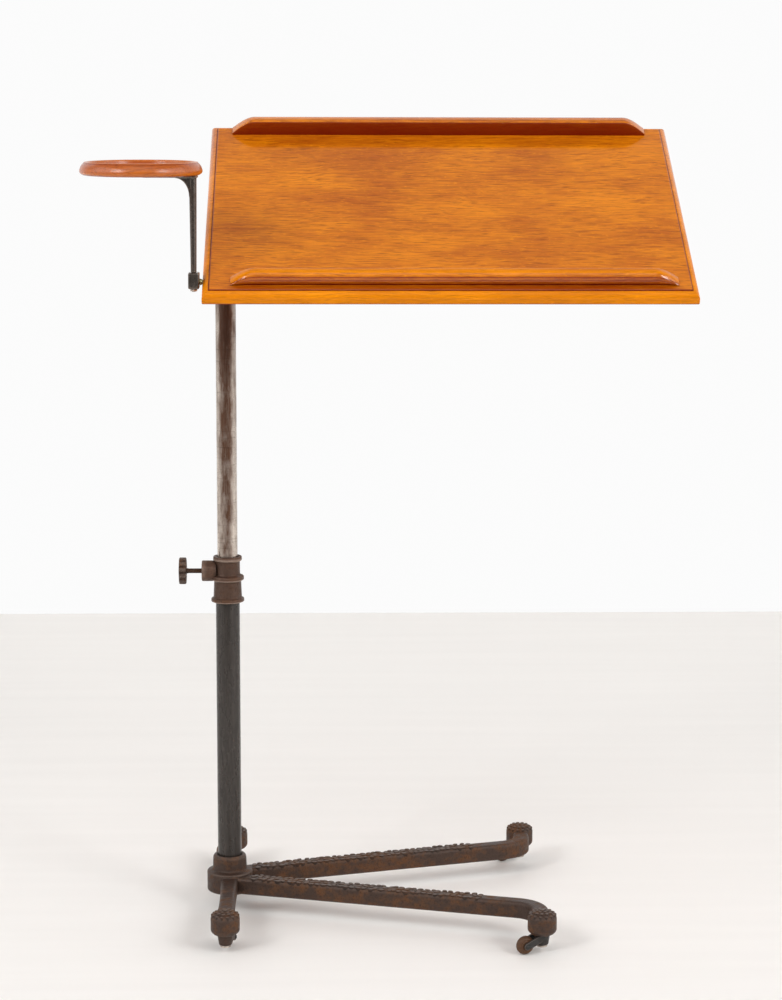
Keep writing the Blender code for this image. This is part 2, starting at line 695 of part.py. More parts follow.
def build_head(head, iron, steel):
    """Sleeve over the pole with a cross barrel on top and two clamping screws, framed on the tilt axis."""
    sleeve_bottom = -HEAD_CROWN - HEAD_SLEEVE_DEPTH
    sleeve_profile = [
        (0.0, -HEAD_SHOULDER),
        (HEAD_SLEEVE_R - HEAD_ARRIS, -HEAD_SHOULDER),
        (HEAD_SLEEVE_R, -HEAD_SHOULDER - HEAD_ARRIS),
        (HEAD_SLEEVE_R, sleeve_bottom + HEAD_ARRIS),
        (HEAD_SLEEVE_R - HEAD_ARRIS, sleeve_bottom),
        (0.0, sleeve_bottom),
    ]
    casting = add_piece("head_casting", turned(sleeve_profile, ROUND_SIDES), iron, head)
    barrel = turned(
        [
            (0.0, HEAD_BARREL_RIGHT),
            (HEAD_BARREL_R - HEAD_ARRIS, HEAD_BARREL_RIGHT),
            (HEAD_BARREL_R, HEAD_BARREL_RIGHT - HEAD_ARRIS),
            (HEAD_BARREL_R, -HEAD_BARREL_LEFT + HEAD_ARRIS),
            (HEAD_BARREL_R - HEAD_ARRIS, -HEAD_BARREL_LEFT),
            (0.0, -HEAD_BARREL_LEFT),
        ],
        SMALL_SIDES,
    )
    swivel_place = at(z=-SWIVEL_SCREW_DROP) @ TO_PLUS_Y
    tilt_place = at(TILT_SCREW_X) @ TO_MINUS_Z
    swivel_reach = HEAD_SLEEVE_R + HEAD_BOSS_STAND
    tilt_reach = HEAD_BARREL_R + HEAD_BOSS_STAND
    swivel_boss = rod_shape(HEAD_BOSS_R, POLE_R, swivel_reach, SMALL_SIDES)
    tilt_boss = rod_shape(HEAD_BOSS_R, BAR_R, tilt_reach, SMALL_SIDES)
    join(
        casting,
        add_piece("head.barrel", barrel, iron, head, TO_PLUS_X),
        add_piece("head.swivel_boss", swivel_boss, iron, head, swivel_place),
        add_piece("head.tilt_boss", tilt_boss, iron, head, tilt_place),
    )
    pole_bore = rod_shape(POLE_R + GAP, sleeve_bottom - HEAD_CROWN, -HEAD_CROWN + GAP, ROUND_SIDES)
    bar_bore = rod_shape(BAR_R + GAP, -HEAD_BARREL_RIGHT * 2.0, HEAD_BARREL_RIGHT * 2.0, SMALL_SIDES)
    swivel_hole = rod_shape(SCREW_R + GAP, SCREW_R, swivel_reach + SCREW_R, PIN_SIDES)
    tilt_hole = rod_shape(SCREW_R + GAP, SCREW_R, tilt_reach + SCREW_R, PIN_SIDES)
    cut(
        casting,
        add_piece("head.pole_bore", pole_bore, iron, head),
        add_piece("head.bar_bore", bar_bore, iron, head, TO_PLUS_X),
        add_piece("head.swivel_hole", swivel_hole, iron, head, swivel_place),
        add_piece("head.tilt_hole", tilt_hole, iron, head, tilt_place),
    )
    tip = POLE_R + GAP
    place = at(0.0, tip, -SWIVEL_SCREW_DROP) @ TO_PLUS_Y
    length = swivel_reach + HEAD_SCREW_SHOW - tip
    thumbscrew("swivel_screw", length, HEAD_KNOB_R, HEAD_KNOB_THICKNESS, steel, head, place)
    tip = BAR_R + GAP
    place = at(TILT_SCREW_X, 0.0, -tip) @ TO_MINUS_Z
    length = tilt_reach + HEAD_SCREW_SHOW - tip
    thumbscrew("tilt_screw", length, HEAD_KNOB_R, HEAD_KNOB_THICKNESS, steel, head, place)


# Tilting desk: bar, brackets, board and ledges


def build_bar(desk, steel):
    """Round bar flanged at its left end, held in the barrel by a loose collar pinned on its right."""
    left = -HEAD_BARREL_LEFT - GAP
    profile = [
        (0.0, BAR_END),
        (BAR_R, BAR_END),
        (BAR_R, left),
        (BAR_FLANGE_R, left),
        (BAR_FLANGE_R, left - BAR_FLANGE),
        (0.0, left - BAR_FLANGE),
    ]
    bar = add_piece("tilt_bar", turned(profile, SMALL_SIDES), steel, desk, TO_PLUS_X)
    start = HEAD_BARREL_RIGHT + GAP
    ring = tube_shape(BAR_COLLAR_R, BAR_R + GAP, start, start + BAR_COLLAR_LENGTH, SMALL_SIDES)
    add_piece("bar_collar", ring, steel, desk, TO_PLUS_X)
    return bar


def build_bracket(name, x, desk, bar, board, iron, steel):
    """Cast bracket on the bar: a boss, a web and a foot under the board, with its pin and two screws."""
    half = BRACKET_WIDTH / 2.0
    foot_top = BOARD_UNDERSIDE - GAP
    foot_bottom = foot_top - BRACKET_FOOT
    boss = rod_shape(BRACKET_BOSS_R, -half, half, SMALL_SIDES)
    bracket = add_piece(f"board_bracket_{name}", boss, iron, desk, at(x) @ TO_PLUS_X)
    foot = block((-half, -BRACKET_FOOT_LENGTH / 2.0, foot_bottom), (half, BRACKET_FOOT_LENGTH / 2.0, foot_top))
    web_top = foot_bottom + BRACKET_FOOT / 2.0
    web_outline = (
        (-BRACKET_BOSS_R / 2.0, -BRACKET_BOSS_R / 2.0),
        (-BRACKET_WEB_LENGTH / 2.0, web_top),
        (BRACKET_WEB_LENGTH / 2.0, web_top),
        (BRACKET_BOSS_R / 2.0, -BRACKET_BOSS_R / 2.0),
    )
    web = lofted([[(side * BRACKET_WEB / 2.0, y, z) for y, z in web_outline] for side in (-1.0, 1.0)])
    join(
        bracket,
        add_piece(f"bracket_foot.{name}", foot, iron, desk, at(x)),
        add_piece(f"bracket_web.{name}", web, iron, desk, at(x)),
    )
    bore = rod_shape(BAR_R + GAP, -BRACKET_WIDTH, BRACKET_WIDTH, SMALL_SIDES)
    cut(bracket, add_piece(f"bracket_bore.{name}", bore, iron, desk, at(x) @ TO_PLUS_X))

    pin_low = -BRACKET_BOSS_R
    pin_high = BRACKET_BOSS_R
    pin_hole = rod_shape(BRACKET_PIN_R + GAP, pin_low - BAR_R, pin_high + GAP + GAP, PIN_SIDES)
    cut(bracket, add_piece(f"bracket_pin_hole.{name}", pin_hole, iron, desk, at(x)))
    pin_slot = rod_shape(BRACKET_PIN_R + GAP, pin_low - BAR_R, pin_high + BAR_R, PIN_SIDES)
    cut(bar, add_piece(f"bar_pin_hole.{name}", pin_slot, steel, desk, at(x)))
    pin = rod_shape(BRACKET_PIN_R, pin_low, pin_high - GAP, PIN_SIDES)
    add_piece(f"bracket_pin_{name}", pin, steel, desk, at(x))

    length = BRACKET_FOOT + GAP + BRACKET_SCREW_BITE - COUNTERSINK_FLUSH
    for end, side in (("front", -1.0), ("rear", 1.0)):
        place = at(x, side * BRACKET_SCREW_SPREAD, foot_bottom + COUNTERSINK_FLUSH)
        wood_screw(f"bracket_screw_{name}_{end}", length, steel, desk, place)
        cut(bracket, screw_hole(f"bracket_screw_hole.{name}_{end}", length, iron, desk, place))
        cut(board, screw_hole(f"board_screw_hole.{name}_{end}", length, iron, desk, place))


def board_ring(inset, height):
    """The board's outline drawn in by an inset, at a height above the tilt axis."""
    left = BOARD_LEFT + inset
    right = BOARD_RIGHT - inset
    front = BOARD_FRONT + inset
    rear = BOARD_REAR - inset
    return [(left, front, height), (right, front, height), (right, rear, height), (left, rear, height)]


def build_board(desk, oak):
    """Oak board with an ovolo and a quirk worked round its upper edge."""
    ovolo_top = BOARD_FACE - EDGE_QUIRK
    ovolo_bottom = BOARD_UNDERSIDE + EDGE_FLAT
    rings = [board_ring(0.0, BOARD_UNDERSIDE)]
    sweep = arc((EDGE_INSET, ovolo_bottom), -EDGE_INSET, ovolo_top - ovolo_bottom, 0.0, math.pi / 2.0)
    rings += [board_ring(inset, height) for inset, height in sweep]
    rings.append(board_ring(EDGE_INSET, BOARD_FACE))
    return add_piece("reading_board", lofted(rings), oak, desk)


def front_ledge_section(height):
    """Section of the book stop in (y, z) from its front foot: an undercut, a bull nose and a flat top."""
    nose = min(FRONT_LEDGE_NOSE, height / 2.0)
    foot = FRONT_LEDGE_UNDERCUT
    points = [(foot, -LEDGE_HOUSING), (FRONT_LEDGE_THICKNESS, -LEDGE_HOUSING), (FRONT_LEDGE_THICKNESS, height)]
    run = FRONT_LEDGE_THICKNESS - FRONT_LEDGE_FLAT
    points += arc((run, nose), run, height - nose, math.pi / 2.0, math.pi)
    points.append((foot, GAP))
    return points


def rear_ledge_section(height):
    """Section of the rear ledge in (y, z) from its front foot: a square front and a rounded back."""
    front = min(REAR_LEDGE_FRONT_ROUND, height / 2.0)
    back = min(REAR_LEDGE_BACK_ROUND, height / 2.0)
    points = [(0.0, -LEDGE_HOUSING), (REAR_LEDGE_THICKNESS, -LEDGE_HOUSING)]
    points += arc((REAR_LEDGE_THICKNESS - back, height - back), back, back, 0.0, math.pi / 2.0)
    points += [(front, height), (0.0, height - front)]
    return points


def build_ledge(name, left, front, height, thickness, foot, section, board, desk, oak, steel):
    """A ledge whose ends fall in a quarter of a sine wave, its groove in the board and its three screws."""
    right = left + LEDGE_LENGTH
    rings = []
    for i in range(ARC_STEPS + 1):
        share = i / ARC_STEPS
        rise = LEDGE_TIP + (height - LEDGE_TIP) * math.sin(math.pi / 2.0 * share)
        rings.append((left + LEDGE_END_RUN * share, rise))
    rings += [(left + right - x, rise) for x, rise in reversed(rings)]
    loops = [[(x, front + y, BOARD_FACE + z) for y, z in section(rise)] for x, rise in rings]
    ledge = add_piece(name, lofted(loops), oak, desk)
    low = (left - GAP, front + foot - GAP, BOARD_FACE - LEDGE_HOUSING - GAP)
    high = (right + GAP, front + thickness + GAP, BOARD_FACE + LEDGE_HOUSING)
    cut(board, add_piece(f"{name}.groove", block(low, high), oak, desk))
    length = BOARD_THICKNESS - LEDGE_HOUSING + LEDGE_SCREW_BITE - COUNTERSINK_FLUSH
    middle = (left + right) / 2.0
    for label, step in (("left", -1.0), ("middle", 0.0), ("right", 1.0)):
        place = at(
            middle + step * LEDGE_SCREW_PITCH, front + (foot + thickness) / 2.0, BOARD_UNDERSIDE + COUNTERSINK_FLUSH
        )
        wood_screw(f"{name}_screw_{label}", length, steel, desk, place)
        cut(board, screw_hole(f"{name}.board_hole_{label}", length, oak, desk, place))
        cut(ledge, screw_hole(f"{name}.ledge_hole_{label}", length, oak, desk, place))


def build_desk(desk, oak, iron, steel):
    """Everything that tilts, in a frame on the tilt axis with Z out of the board."""
    bar = build_bar(desk, steel)
    board = build_board(desk, oak)
    for name, x in BRACKETS.items():
        build_bracket(name, x, desk, bar, board, iron, steel)
    build_ledge(
        "front_ledge",
        BOARD_LEFT + FRONT_LEDGE_LEFT,
        BOARD_FRONT + FRONT_LEDGE_SETBACK,
        FRONT_LEDGE_HEIGHT,
        FRONT_LEDGE_THICKNESS,
        FRONT_LEDGE_UNDERCUT,
        front_ledge_section,
        board,
        desk,
        oak,
        steel,
    )
    build_ledge(
        "rear_ledge",
        BOARD_LEFT + REAR_LEDGE_LEFT,
        BOARD_REAR - REAR_LEDGE_SETBACK - REAR_LEDGE_THICKNESS,
        REAR_LEDGE_HEIGHT,
        REAR_LEDGE_THICKNESS,
        0.0,
        rear_ledge_section,
        board,
        desk,
        oak,
        steel,
    )
    build_stud(desk, board, steel)


# Tray, arm and pivot block


def build_stud(desk, board, steel):
    """Shouldered stud screwed into the board's left edge, its head let into the block."""
    place = at(0.0, STUD_Y, STUD_Z) @ TO_PLUS_X
    head_left = BLOCK_RIGHT - BLOCK_WIDTH + GAP
    profile = [
        (0.0, BOARD_LEFT + STUD_BITE),
        (STUD_R, BOARD_LEFT + STUD_BITE - STUD_R),
        (STUD_R, BOARD_LEFT - GAP),
        (STUD_COLLAR_R, BOARD_LEFT - GAP),
        (STUD_SHOULDER_R, BLOCK_RIGHT + GAP),
        (STUD_R, BLOCK_RIGHT + GAP),
        (STUD_R, head_left + STUD_HEAD),
        (STUD_HEAD_R, head_left + STUD_HEAD),
        (STUD_HEAD_R, head_left),
        (0.0, head_left),
    ]
    add_piece("tray_stud", turned(profile, PIN_SIDES), steel, desk, place)
    hole = rod_shape(STUD_R + GAP, BOARD_LEFT - STUD_BITE, BOARD_LEFT + STUD_BITE + GAP, PIN_SIDES)
    cut(board, add_piece("board.stud_hole", hole, steel, desk, place))


def build_pivot_block(level, iron):
    """Iron block that turns on the stud and takes the arm's spigot, framed on the stud."""
    left = BLOCK_RIGHT - BLOCK_WIDTH
    low = (left, -ROD_FROM_STUD - BLOCK_WALL, -BLOCK_BELOW_STUD)
    high = (BLOCK_RIGHT, BLOCK_WALL, BLOCK_HEIGHT - BLOCK_BELOW_STUD)
    pivot = softened(add_piece("pivot_block", block(low, high), iron, level), BLOCK_ARRIS)
    head_seat = left + STUD_HEAD + GAP + GAP
    stud_hole = turned(
        [
            (0.0, BLOCK_RIGHT + STUD_R),
            (STUD_R + GAP, BLOCK_RIGHT + STUD_R),
            (STUD_R + GAP, head_seat),
            (STUD_HEAD_R + GAP, head_seat),
            (STUD_HEAD_R + GAP, left - STUD_R),
            (0.0, left - STUD_R),
        ],
        PIN_SIDES,
    )
    spigot_hole = rod_shape(ROD_SPIGOT_R + GAP, low[2] - ROD_R, high[2] + ROD_R, PIN_SIDES)
    cut(
        pivot,
        add_piece("block.stud_hole", stud_hole, iron, level, TO_PLUS_X),
        add_piece("block.spigot_hole", spigot_hole, iron, level, at(ROD_X, -ROD_FROM_STUD)),
    )


def build_arm(swing, iron, steel):
    """Iron arm in one forging: spigot, rod, gusset and the plate under the tray, framed on the rod."""
    block_bottom = -BLOCK_BELOW_STUD
    block_top = BLOCK_HEIGHT - BLOCK_BELOW_STUD
    plate_top = TRAY_LIFT - GAP
    plate_bottom = plate_top - PLATE_THICKNESS
    nut_top = block_bottom - GAP
    nut_bottom = nut_top - ARM_NUT_HEIGHT
    rod_top = plate_bottom + PLATE_THICKNESS / 2.0
    rod_profile = [
        (0.0, rod_top),
        (ROD_TOP_R, rod_top),
        (ROD_R, block_top + GAP),
        (ROD_SPIGOT_R, block_top + GAP),
        (ROD_SPIGOT_R, nut_bottom - ROD_TAIL),
        (0.0, nut_bottom - ROD_TAIL),
    ]
    arm = add_piece("tray_arm", turned(rod_profile, PIN_SIDES), iron, swing)
    plate_outline = [
        (PLATE_OVERHANG, plate_bottom),
        (PLATE_OVERHANG, plate_top),
        (-TRAY_OFFSET, plate_top),
        (-TRAY_OFFSET, plate_top - PLATE_TIP),
    ]
    gusset_foot = -ROD_TOP_R - GUSSET_RUN
    gusset_low = plate_bottom - GUSSET_DROP
    gusset_outline = [(0.0, gusset_low), (0.0, rod_top), (gusset_foot, rod_top)]
    gusset_outline += arc((gusset_foot, gusset_low), GUSSET_RUN, GUSSET_DROP, math.pi / 2.0, 0.0)
    join(
        arm,
        add_piece("arm.plate", extruded(plate_outline, PLATE_WIDTH), iron, swing),
        add_piece("arm.gusset", extruded(gusset_outline, GUSSET_THICKNESS), iron, swing),
    )
    nut = add_piece("arm_nut", rod_shape(ARM_NUT_R, nut_bottom, nut_top, NUT_FLATS), steel, swing)
    bore = rod_shape(ROD_SPIGOT_R + GAP, nut_bottom - ROD_R, nut_top + ROD_R, PIN_SIDES)
    cut(nut, add_piece("arm_nut.bore", bore, steel, swing))
    return arm


def build_tray(swing, arm, oak, iron, steel):
    """Turned tray with a rolled edge and a shallow recess, screwed to the arm's plate."""
    rim_inner = TRAY_RIM_R - TRAY_RIM_WIDTH
    floor = TRAY_HEIGHT - TRAY_RECESS
    edge = arc((TRAY_RIM_R, TRAY_WIDEST), TRAY_R - TRAY_RIM_R, TRAY_HEIGHT - TRAY_WIDEST, math.pi / 2.0, 0.0)
    under = arc((TRAY_R - TRAY_UNDERCUT, TRAY_WIDEST), TRAY_UNDERCUT, TRAY_WIDEST, 0.0, -math.pi / 2.0, ARC_STEPS // 2)
    cove = arc((rim_inner - TRAY_COVE, floor + TRAY_COVE), TRAY_COVE, TRAY_COVE, -math.pi / 2.0, 0.0, ARC_STEPS // 2)
    profile = [(0.0, floor)] + cove + [(rim_inner, TRAY_HEIGHT)] + edge + under[1:] + [(0.0, 0.0)]
    place = at(-TRAY_OFFSET, 0.0, TRAY_LIFT)
    tray = add_piece("tray", turned(profile, FINE_SIDES), oak, swing, place)
    length = PLATE_THICKNESS + GAP + TRAY_SCREW_BITE - COUNTERSINK_FLUSH
    for label, x in (("inner", TRAY_SCREW_INNER), ("outer", TRAY_SCREW_OUTER)):
        drop = PLATE_THICKNESS - (PLATE_THICKNESS - PLATE_TIP) * (x + PLATE_OVERHANG) / (TRAY_OFFSET + PLATE_OVERHANG)
        spot = at(-x, 0.0, TRAY_LIFT - GAP - drop + COUNTERSINK_FLUSH)
        reach = length - PLATE_THICKNESS + drop
        wood_screw(f"tray_screw_{label}", reach, steel, swing, spot)
        cut(arm, screw_hole(f"arm_screw_hole.{label}", reach, iron, swing, spot))
        cut(tray, screw_hole(f"tray_screw_hole.{label}", reach, oak, swing, spot))


def main():
    clear_scene()
    oak = finish("oak", (0.47, 0.19, 0.045), 0.38, 0.0)
    tray_oak = finish("tray_oak", (0.45, 0.16, 0.04), 0.35, 0.0)
    iron = finish("cast_iron", (0.085, 0.062, 0.052), 0.72, 0.6)
    paint = finish("tube_paint", (0.062, 0.058, 0.055), 0.5, 0.3)
    steel = finish("worn_steel", (0.42, 0.36, 0.31), 0.38, 1.0)
    brown_iron = finish("castor_brown", (0.10, 0.05, 0.034), 0.6, 0.4)

    column = add_axis("column_axis", None, at(COLUMN_X, COLUMN_Y))
    build_base(column, iron)
    for name, spot in FEET.items():
        build_castor(name, spot, column, iron, steel, brown_iron)
    build_column(column, paint, steel, iron)
    head = add_axis("head_axis", column, at(z=TILT_AXIS_HEIGHT))
    build_head(head, iron, steel)
    desk = add_axis("tilt_axis", head, Matrix.Rotation(BOARD_TILT, 4, "X"))
    build_desk(desk, oak, iron, steel)
    level = add_axis("tray_level_axis", head, at(0.0, STUD_LEVEL.y, STUD_LEVEL.z))
    build_pivot_block(level, iron)
    swing = add_axis("tray_swing_axis", level, at(ROD_X, -ROD_FROM_STUD))
    arm = build_arm(swing, iron, steel)
    build_tray(swing, arm, tray_oak, iron, steel)


main()
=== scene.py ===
"""Looks of an adjustable reading stand: an oak board on a steel and iron column with castors.

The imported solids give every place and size. Each operator of this add-on lays a finer surface over its own
pieces, and the panel lists them in the order in which they are run.
"""

import json
import math

import bmesh
import bpy
import numpy as np
from bpy.props import FloatProperty, FloatVectorProperty, IntProperty, PointerProperty
from mathutils import Matrix, Vector


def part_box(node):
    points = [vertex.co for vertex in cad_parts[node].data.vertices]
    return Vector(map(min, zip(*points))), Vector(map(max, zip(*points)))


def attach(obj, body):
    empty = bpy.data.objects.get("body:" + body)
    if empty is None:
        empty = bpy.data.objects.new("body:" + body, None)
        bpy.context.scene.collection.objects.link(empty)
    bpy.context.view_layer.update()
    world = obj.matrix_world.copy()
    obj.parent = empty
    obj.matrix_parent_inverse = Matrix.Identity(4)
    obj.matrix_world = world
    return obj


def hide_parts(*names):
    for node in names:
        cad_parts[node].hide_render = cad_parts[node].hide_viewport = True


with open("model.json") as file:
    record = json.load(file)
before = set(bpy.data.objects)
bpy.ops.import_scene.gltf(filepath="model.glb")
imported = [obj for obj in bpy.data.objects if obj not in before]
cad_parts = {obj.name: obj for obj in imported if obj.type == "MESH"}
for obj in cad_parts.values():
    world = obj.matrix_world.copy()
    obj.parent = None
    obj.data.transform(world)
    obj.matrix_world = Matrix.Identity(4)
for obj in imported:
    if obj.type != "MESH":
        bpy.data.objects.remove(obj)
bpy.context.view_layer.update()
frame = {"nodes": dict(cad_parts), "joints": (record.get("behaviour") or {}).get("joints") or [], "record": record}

bl_info = {
    "name": "Reading Stand",
    "version": (1, 0, 0),
    "blender": (4, 5, 0),
    "location": "View3D > Sidebar > Reading Stand",
    "description": "Finished surfaces and materials for an adjustable reading stand",
    "category": "Object",
}

# Places read from the frame

JOINTS = {joint["name"]: joint for joint in frame["joints"]}
FACE_NORMAL = next(m["axis"] for m in frame["record"]["mounts"] if m["name"] == "reading_face")
TILT = math.atan2(-FACE_NORMAL[1], FACE_NORMAL[2])
HEAD = Matrix.Translation(JOINTS["board_tilt"]["pos_m"])
DESK = HEAD @ Matrix.Rotation(TILT, 4, "X")
COLUMN = Matrix.Translation((HEAD.translation.x, HEAD.translation.y, 0.0))
ARM = Matrix.Translation(JOINTS["tray_swing"]["pos_m"])
TO_PLUS_X = Matrix.Rotation(math.pi / 2.0, 4, "Y")
TO_MINUS_X = Matrix.Rotation(-math.pi / 2.0, 4, "Y")
TO_PLUS_Y = Matrix.Rotation(-math.pi / 2.0, 4, "X")
TO_MINUS_Y = Matrix.Rotation(math.pi / 2.0, 4, "X")
TO_MINUS_Z = Matrix.Rotation(math.pi, 4, "X")
UPRIGHT_ACROSS = Matrix(((0, 0, 1, 0), (1, 0, 0, 0), (0, 1, 0, 0), (0, 0, 0, 1)))
FEET = ("front_left", "front_right", "rear_left", "rear_right")
MM = 0.001


def at(x, y, z):
    return Matrix.Translation((x, y, z))


def foot_place(foot):
    """The floor under a foot's swivel."""
    return Matrix.Translation(JOINTS[f"castor_swivel_{foot}"]["pos_m"][:2] + [0.0])


def read(items, key, width, kind=np.float32):
    """One attribute of all the items of a mesh, a row for each."""
    values = np.empty(len(items) * width, kind)
    items.foreach_get(key, values)
    return values.reshape(-1, width)


def extent(node, place):
    """Lowest and highest corners of a solid, measured in a placed frame."""
    points = read(frame["nodes"][node].data.vertices, "co", 3).astype(float)
    points = moved(points, place.inverted())
    return points.min(axis=0), points.max(axis=0)


# Surfaces from arrays

# Voxel size and softening passes of each kind of fused iron
FORGED, CAST, BASE_CAST, HORN_CAST = (0.0005, 2), (0.0009, 3), (0.0010, 1), (0.0005, 1)
SHARP_ANGLE = math.radians(38.0)
PROUD_GAIN = 6.0


def moved(points, place):
    """Carry points of any array shape into a placed frame: turn, then shift."""
    matrix = np.array(place)
    return points @ matrix[:3, :3].T + matrix[:3, 3]


def circle(count):
    """Equal angles once round."""
    return np.linspace(0.0, 2.0 * np.pi, count, endpoint=False)


def ways(angle):
    """Flat directions at angles."""
    return np.column_stack([np.cos(angle), np.sin(angle)])


def eased(points, radius, steps, closed=False):
    """Round each corner of a polyline: between two points set back along its sides, a parabola whose handles
    meet in the corner. The radius may be one value or one for each corner."""
    corner = np.asarray(points, float)
    if closed:
        before, middle, after = np.roll(corner, 1, axis=0), corner, np.roll(corner, -1, axis=0)
    else:
        before, middle, after = corner[:-2], corner[1:-1], corner[2:]
    back, on = before - middle, after - middle
    back_length = np.linalg.norm(back, axis=1, keepdims=True)
    on_length = np.linalg.norm(on, axis=1, keepdims=True)
    reach = np.broadcast_to(np.asarray(radius, float), (len(middle),))[:, None]
    reach = np.minimum(reach, 0.49 * np.minimum(back_length, on_length))
    start, end = middle + back / back_length * reach, middle + on / on_length * reach
    t = np.linspace(0.0, 1.0, steps)[None, :, None]
    curve = (1 - t) ** 2 * start[:, None] + 2 * t * (1 - t) * middle[:, None] + t**2 * end[:, None]
    curve = curve.reshape(-1, corner.shape[1])
    return curve if closed else np.vstack([corner[:1], curve, corner[-1:]])


def worked(rows, steps, closed=False):
    """An eased outline from a table of x, y, easing radius and maybe mark, its lengths in millimetres, and the
    marks of the outline's points as a column."""
    corner, ease, marks = np.split(np.array(rows, float), [2, 3], axis=1)
    inner = slice(None) if closed else slice(1, -1)
    outline = eased(corner * MM, ease[inner, 0] * MM, steps, closed)
    spread = np.repeat(marks[inner], steps, axis=0)
    return outline, spread if closed else np.vstack([marks[:1], spread, marks[-1:]])


def rounded_rectangle(low, high, radius, steps=6):
    """Corner arcs of a rectangle, in order, as one closed outline."""
    corners = [(low[0], low[1]), (high[0], low[1]), (high[0], high[1]), (low[0], high[1])]
    return eased(corners, radius, steps, closed=True)


def spun(radius, height, angle):
    """Points about Z: every radius, which may vary with the angle, at its height."""
    return np.stack(np.broadcast_arrays(radius * np.cos(angle), radius * np.sin(angle), height), axis=-1)


def turned(profile, sides, place=Matrix()):
    """A profile of (radius, height) rows spun about Z: each row is a circle, sampled at equal angles."""
    profile = np.asarray(profile, float)
    return moved(spun(profile[:, :1], profile[:, 1:], circle(sides)), place)


def shaft(rows, ease, steps, sides, place):
    """A solid turned about Z: its profile is drawn onto the axis at both ends and its corners are eased."""
    start, end = ([(0.0, row[1])] if row[0] else [] for row in (rows[0], rows[-1]))
    return turned(eased([*start, *rows, *end], ease, steps), sides, place)


def looped(rows):
    """Rows with the first once more at their end."""
    return np.vstack([rows, rows[:1]])


def ring(section, sides, place):
    """A closed section spun about Z without touching it, such as a tube: its last row meets its first."""
    return turned(looped(section), sides, place)


def mirrored(rows):
    """Rows of a profile below its middle, then their mirror image above it."""
    return rows + [(x, -y) for x, y in reversed(rows)]


def raised(plan, height):
    """Rows of (x, y) points given heights, which spread over them."""
    return np.concatenate([plan, np.broadcast_to(height, (*plan.shape[:2], 1))], axis=-1)


def capped(grid, first=None, last=None):
    """Close the two ends of a carried section, each onto one point."""
    first = grid[0].mean(axis=0) if first is None else first
    last = grid[-1].mean(axis=0) if last is None else last
    shape = (1,) + grid.shape[1:]
    return np.concatenate([np.broadcast_to(first, shape), grid, np.broadcast_to(last, shape)])


def prism(outline, low, high, ease, place, eye=None):
    """A flat outline of (x, y) points given thickness along Z, with its top and bottom arrises eased. The eye
    is the point from which each cap is filled, the middle unless the outline is hollow there."""
    outline = np.asarray(outline, float)
    eye = outline.mean(axis=0) if eye is None else np.asarray(eye, float)
    turn = np.linspace(0.0, np.pi / 2.0, 4)
    inset = ease * (1.0 - np.sin(turn))
    inset = np.concatenate([inset, inset[::-1]])[:, None]
    height = np.concatenate([low + ease * (1.0 - np.cos(turn)), high - ease * (1.0 - np.cos(turn[::-1]))])
    reach = np.maximum(np.linalg.norm(outline - eye, axis=1), 1e-6)
    drawn = eye + (outline - eye) * np.clip(1.0 - inset / reach, 0.0, 1.0)[..., None]
    grid = raised(drawn, height[:, None, None])
    return moved(capped(grid, np.append(eye, low), np.append(eye, high)), place)


def cells(rows, columns, start):
    """Corner numbers of every cell of a grid whose columns close on themselves."""
    row = np.arange(rows - 1)[:, None] * columns
    column = np.arange(columns)[None, :]
    after = (column + 1) % columns
    corners = [row + column, row + after, row + columns + after, row + columns + column]
    return start + np.stack(corners, axis=-1).reshape(-1, 4)


def set_proud(mesh, values):
    """Keep a mark for each vertex: above zero for rubbed edges and painted highlights, below zero for dirt and
    painted shade.
    """
    if "proud" in mesh.attributes:
        mesh.attributes.remove(mesh.attributes["proud"])
    mesh.attributes.new("proud", "FLOAT", "POINT").data.foreach_set("value", values.astype(np.float32))


def piece(name, grids, marks=None):
    """One object from closed grids, with marks for each grid that spread over it."""
    points = np.concatenate([grid.reshape(-1, 3) for grid in grids])
    starts = np.cumsum([0] + [grid.shape[0] * grid.shape[1] for grid in grids])
    quads = np.concatenate([cells(*grid.shape[:2], start) for grid, start in zip(grids, starts)])
    mesh = bpy.data.meshes.new(name)
    mesh.from_pydata(points, [], quads)
    marks = marks or [np.zeros(1)] * len(grids)
    set_proud(mesh, np.concatenate([np.broadcast_to(m, g.shape[:2]).ravel() for m, g in zip(marks, grids)]))
    bm = bmesh.new()
    bm.from_mesh(mesh)
    bmesh.ops.remove_doubles(bm, verts=bm.verts, dist=1e-6)
    bmesh.ops.dissolve_degenerate(bm, edges=bm.edges, dist=1e-7)
    bmesh.ops.recalc_face_normals(bm, faces=bm.faces)
    bm.to_mesh(mesh)
    bm.free()
    mesh.shade_smooth()
    mesh.set_sharp_from_angle(angle=SHARP_ANGLE)
    obj = bpy.data.objects.new(name, mesh)
    bpy.context.scene.collection.objects.link(obj)
    return obj


def fused(obj, voxel, passes):
    """Make one skin of overlapping closed shells, soften it as a casting and mark where it stands proud."""
    remesh = obj.modifiers.new("fuse", "REMESH")
    remesh.mode = "VOXEL"
    remesh.voxel_size = voxel
    remesh.use_smooth_shade = True
    smooth = obj.modifiers.new("soften", "SMOOTH")
    smooth.factor = 0.5
    smooth.iterations = passes
    shells = obj.data
    mesh = bpy.data.meshes.new_from_object(obj.evaluated_get(bpy.context.evaluated_depsgraph_get()))
    obj.modifiers.clear()
    obj.data = mesh
    bpy.data.meshes.remove(shells)
    mesh.name = obj.name
    mark_proud(mesh, 3)


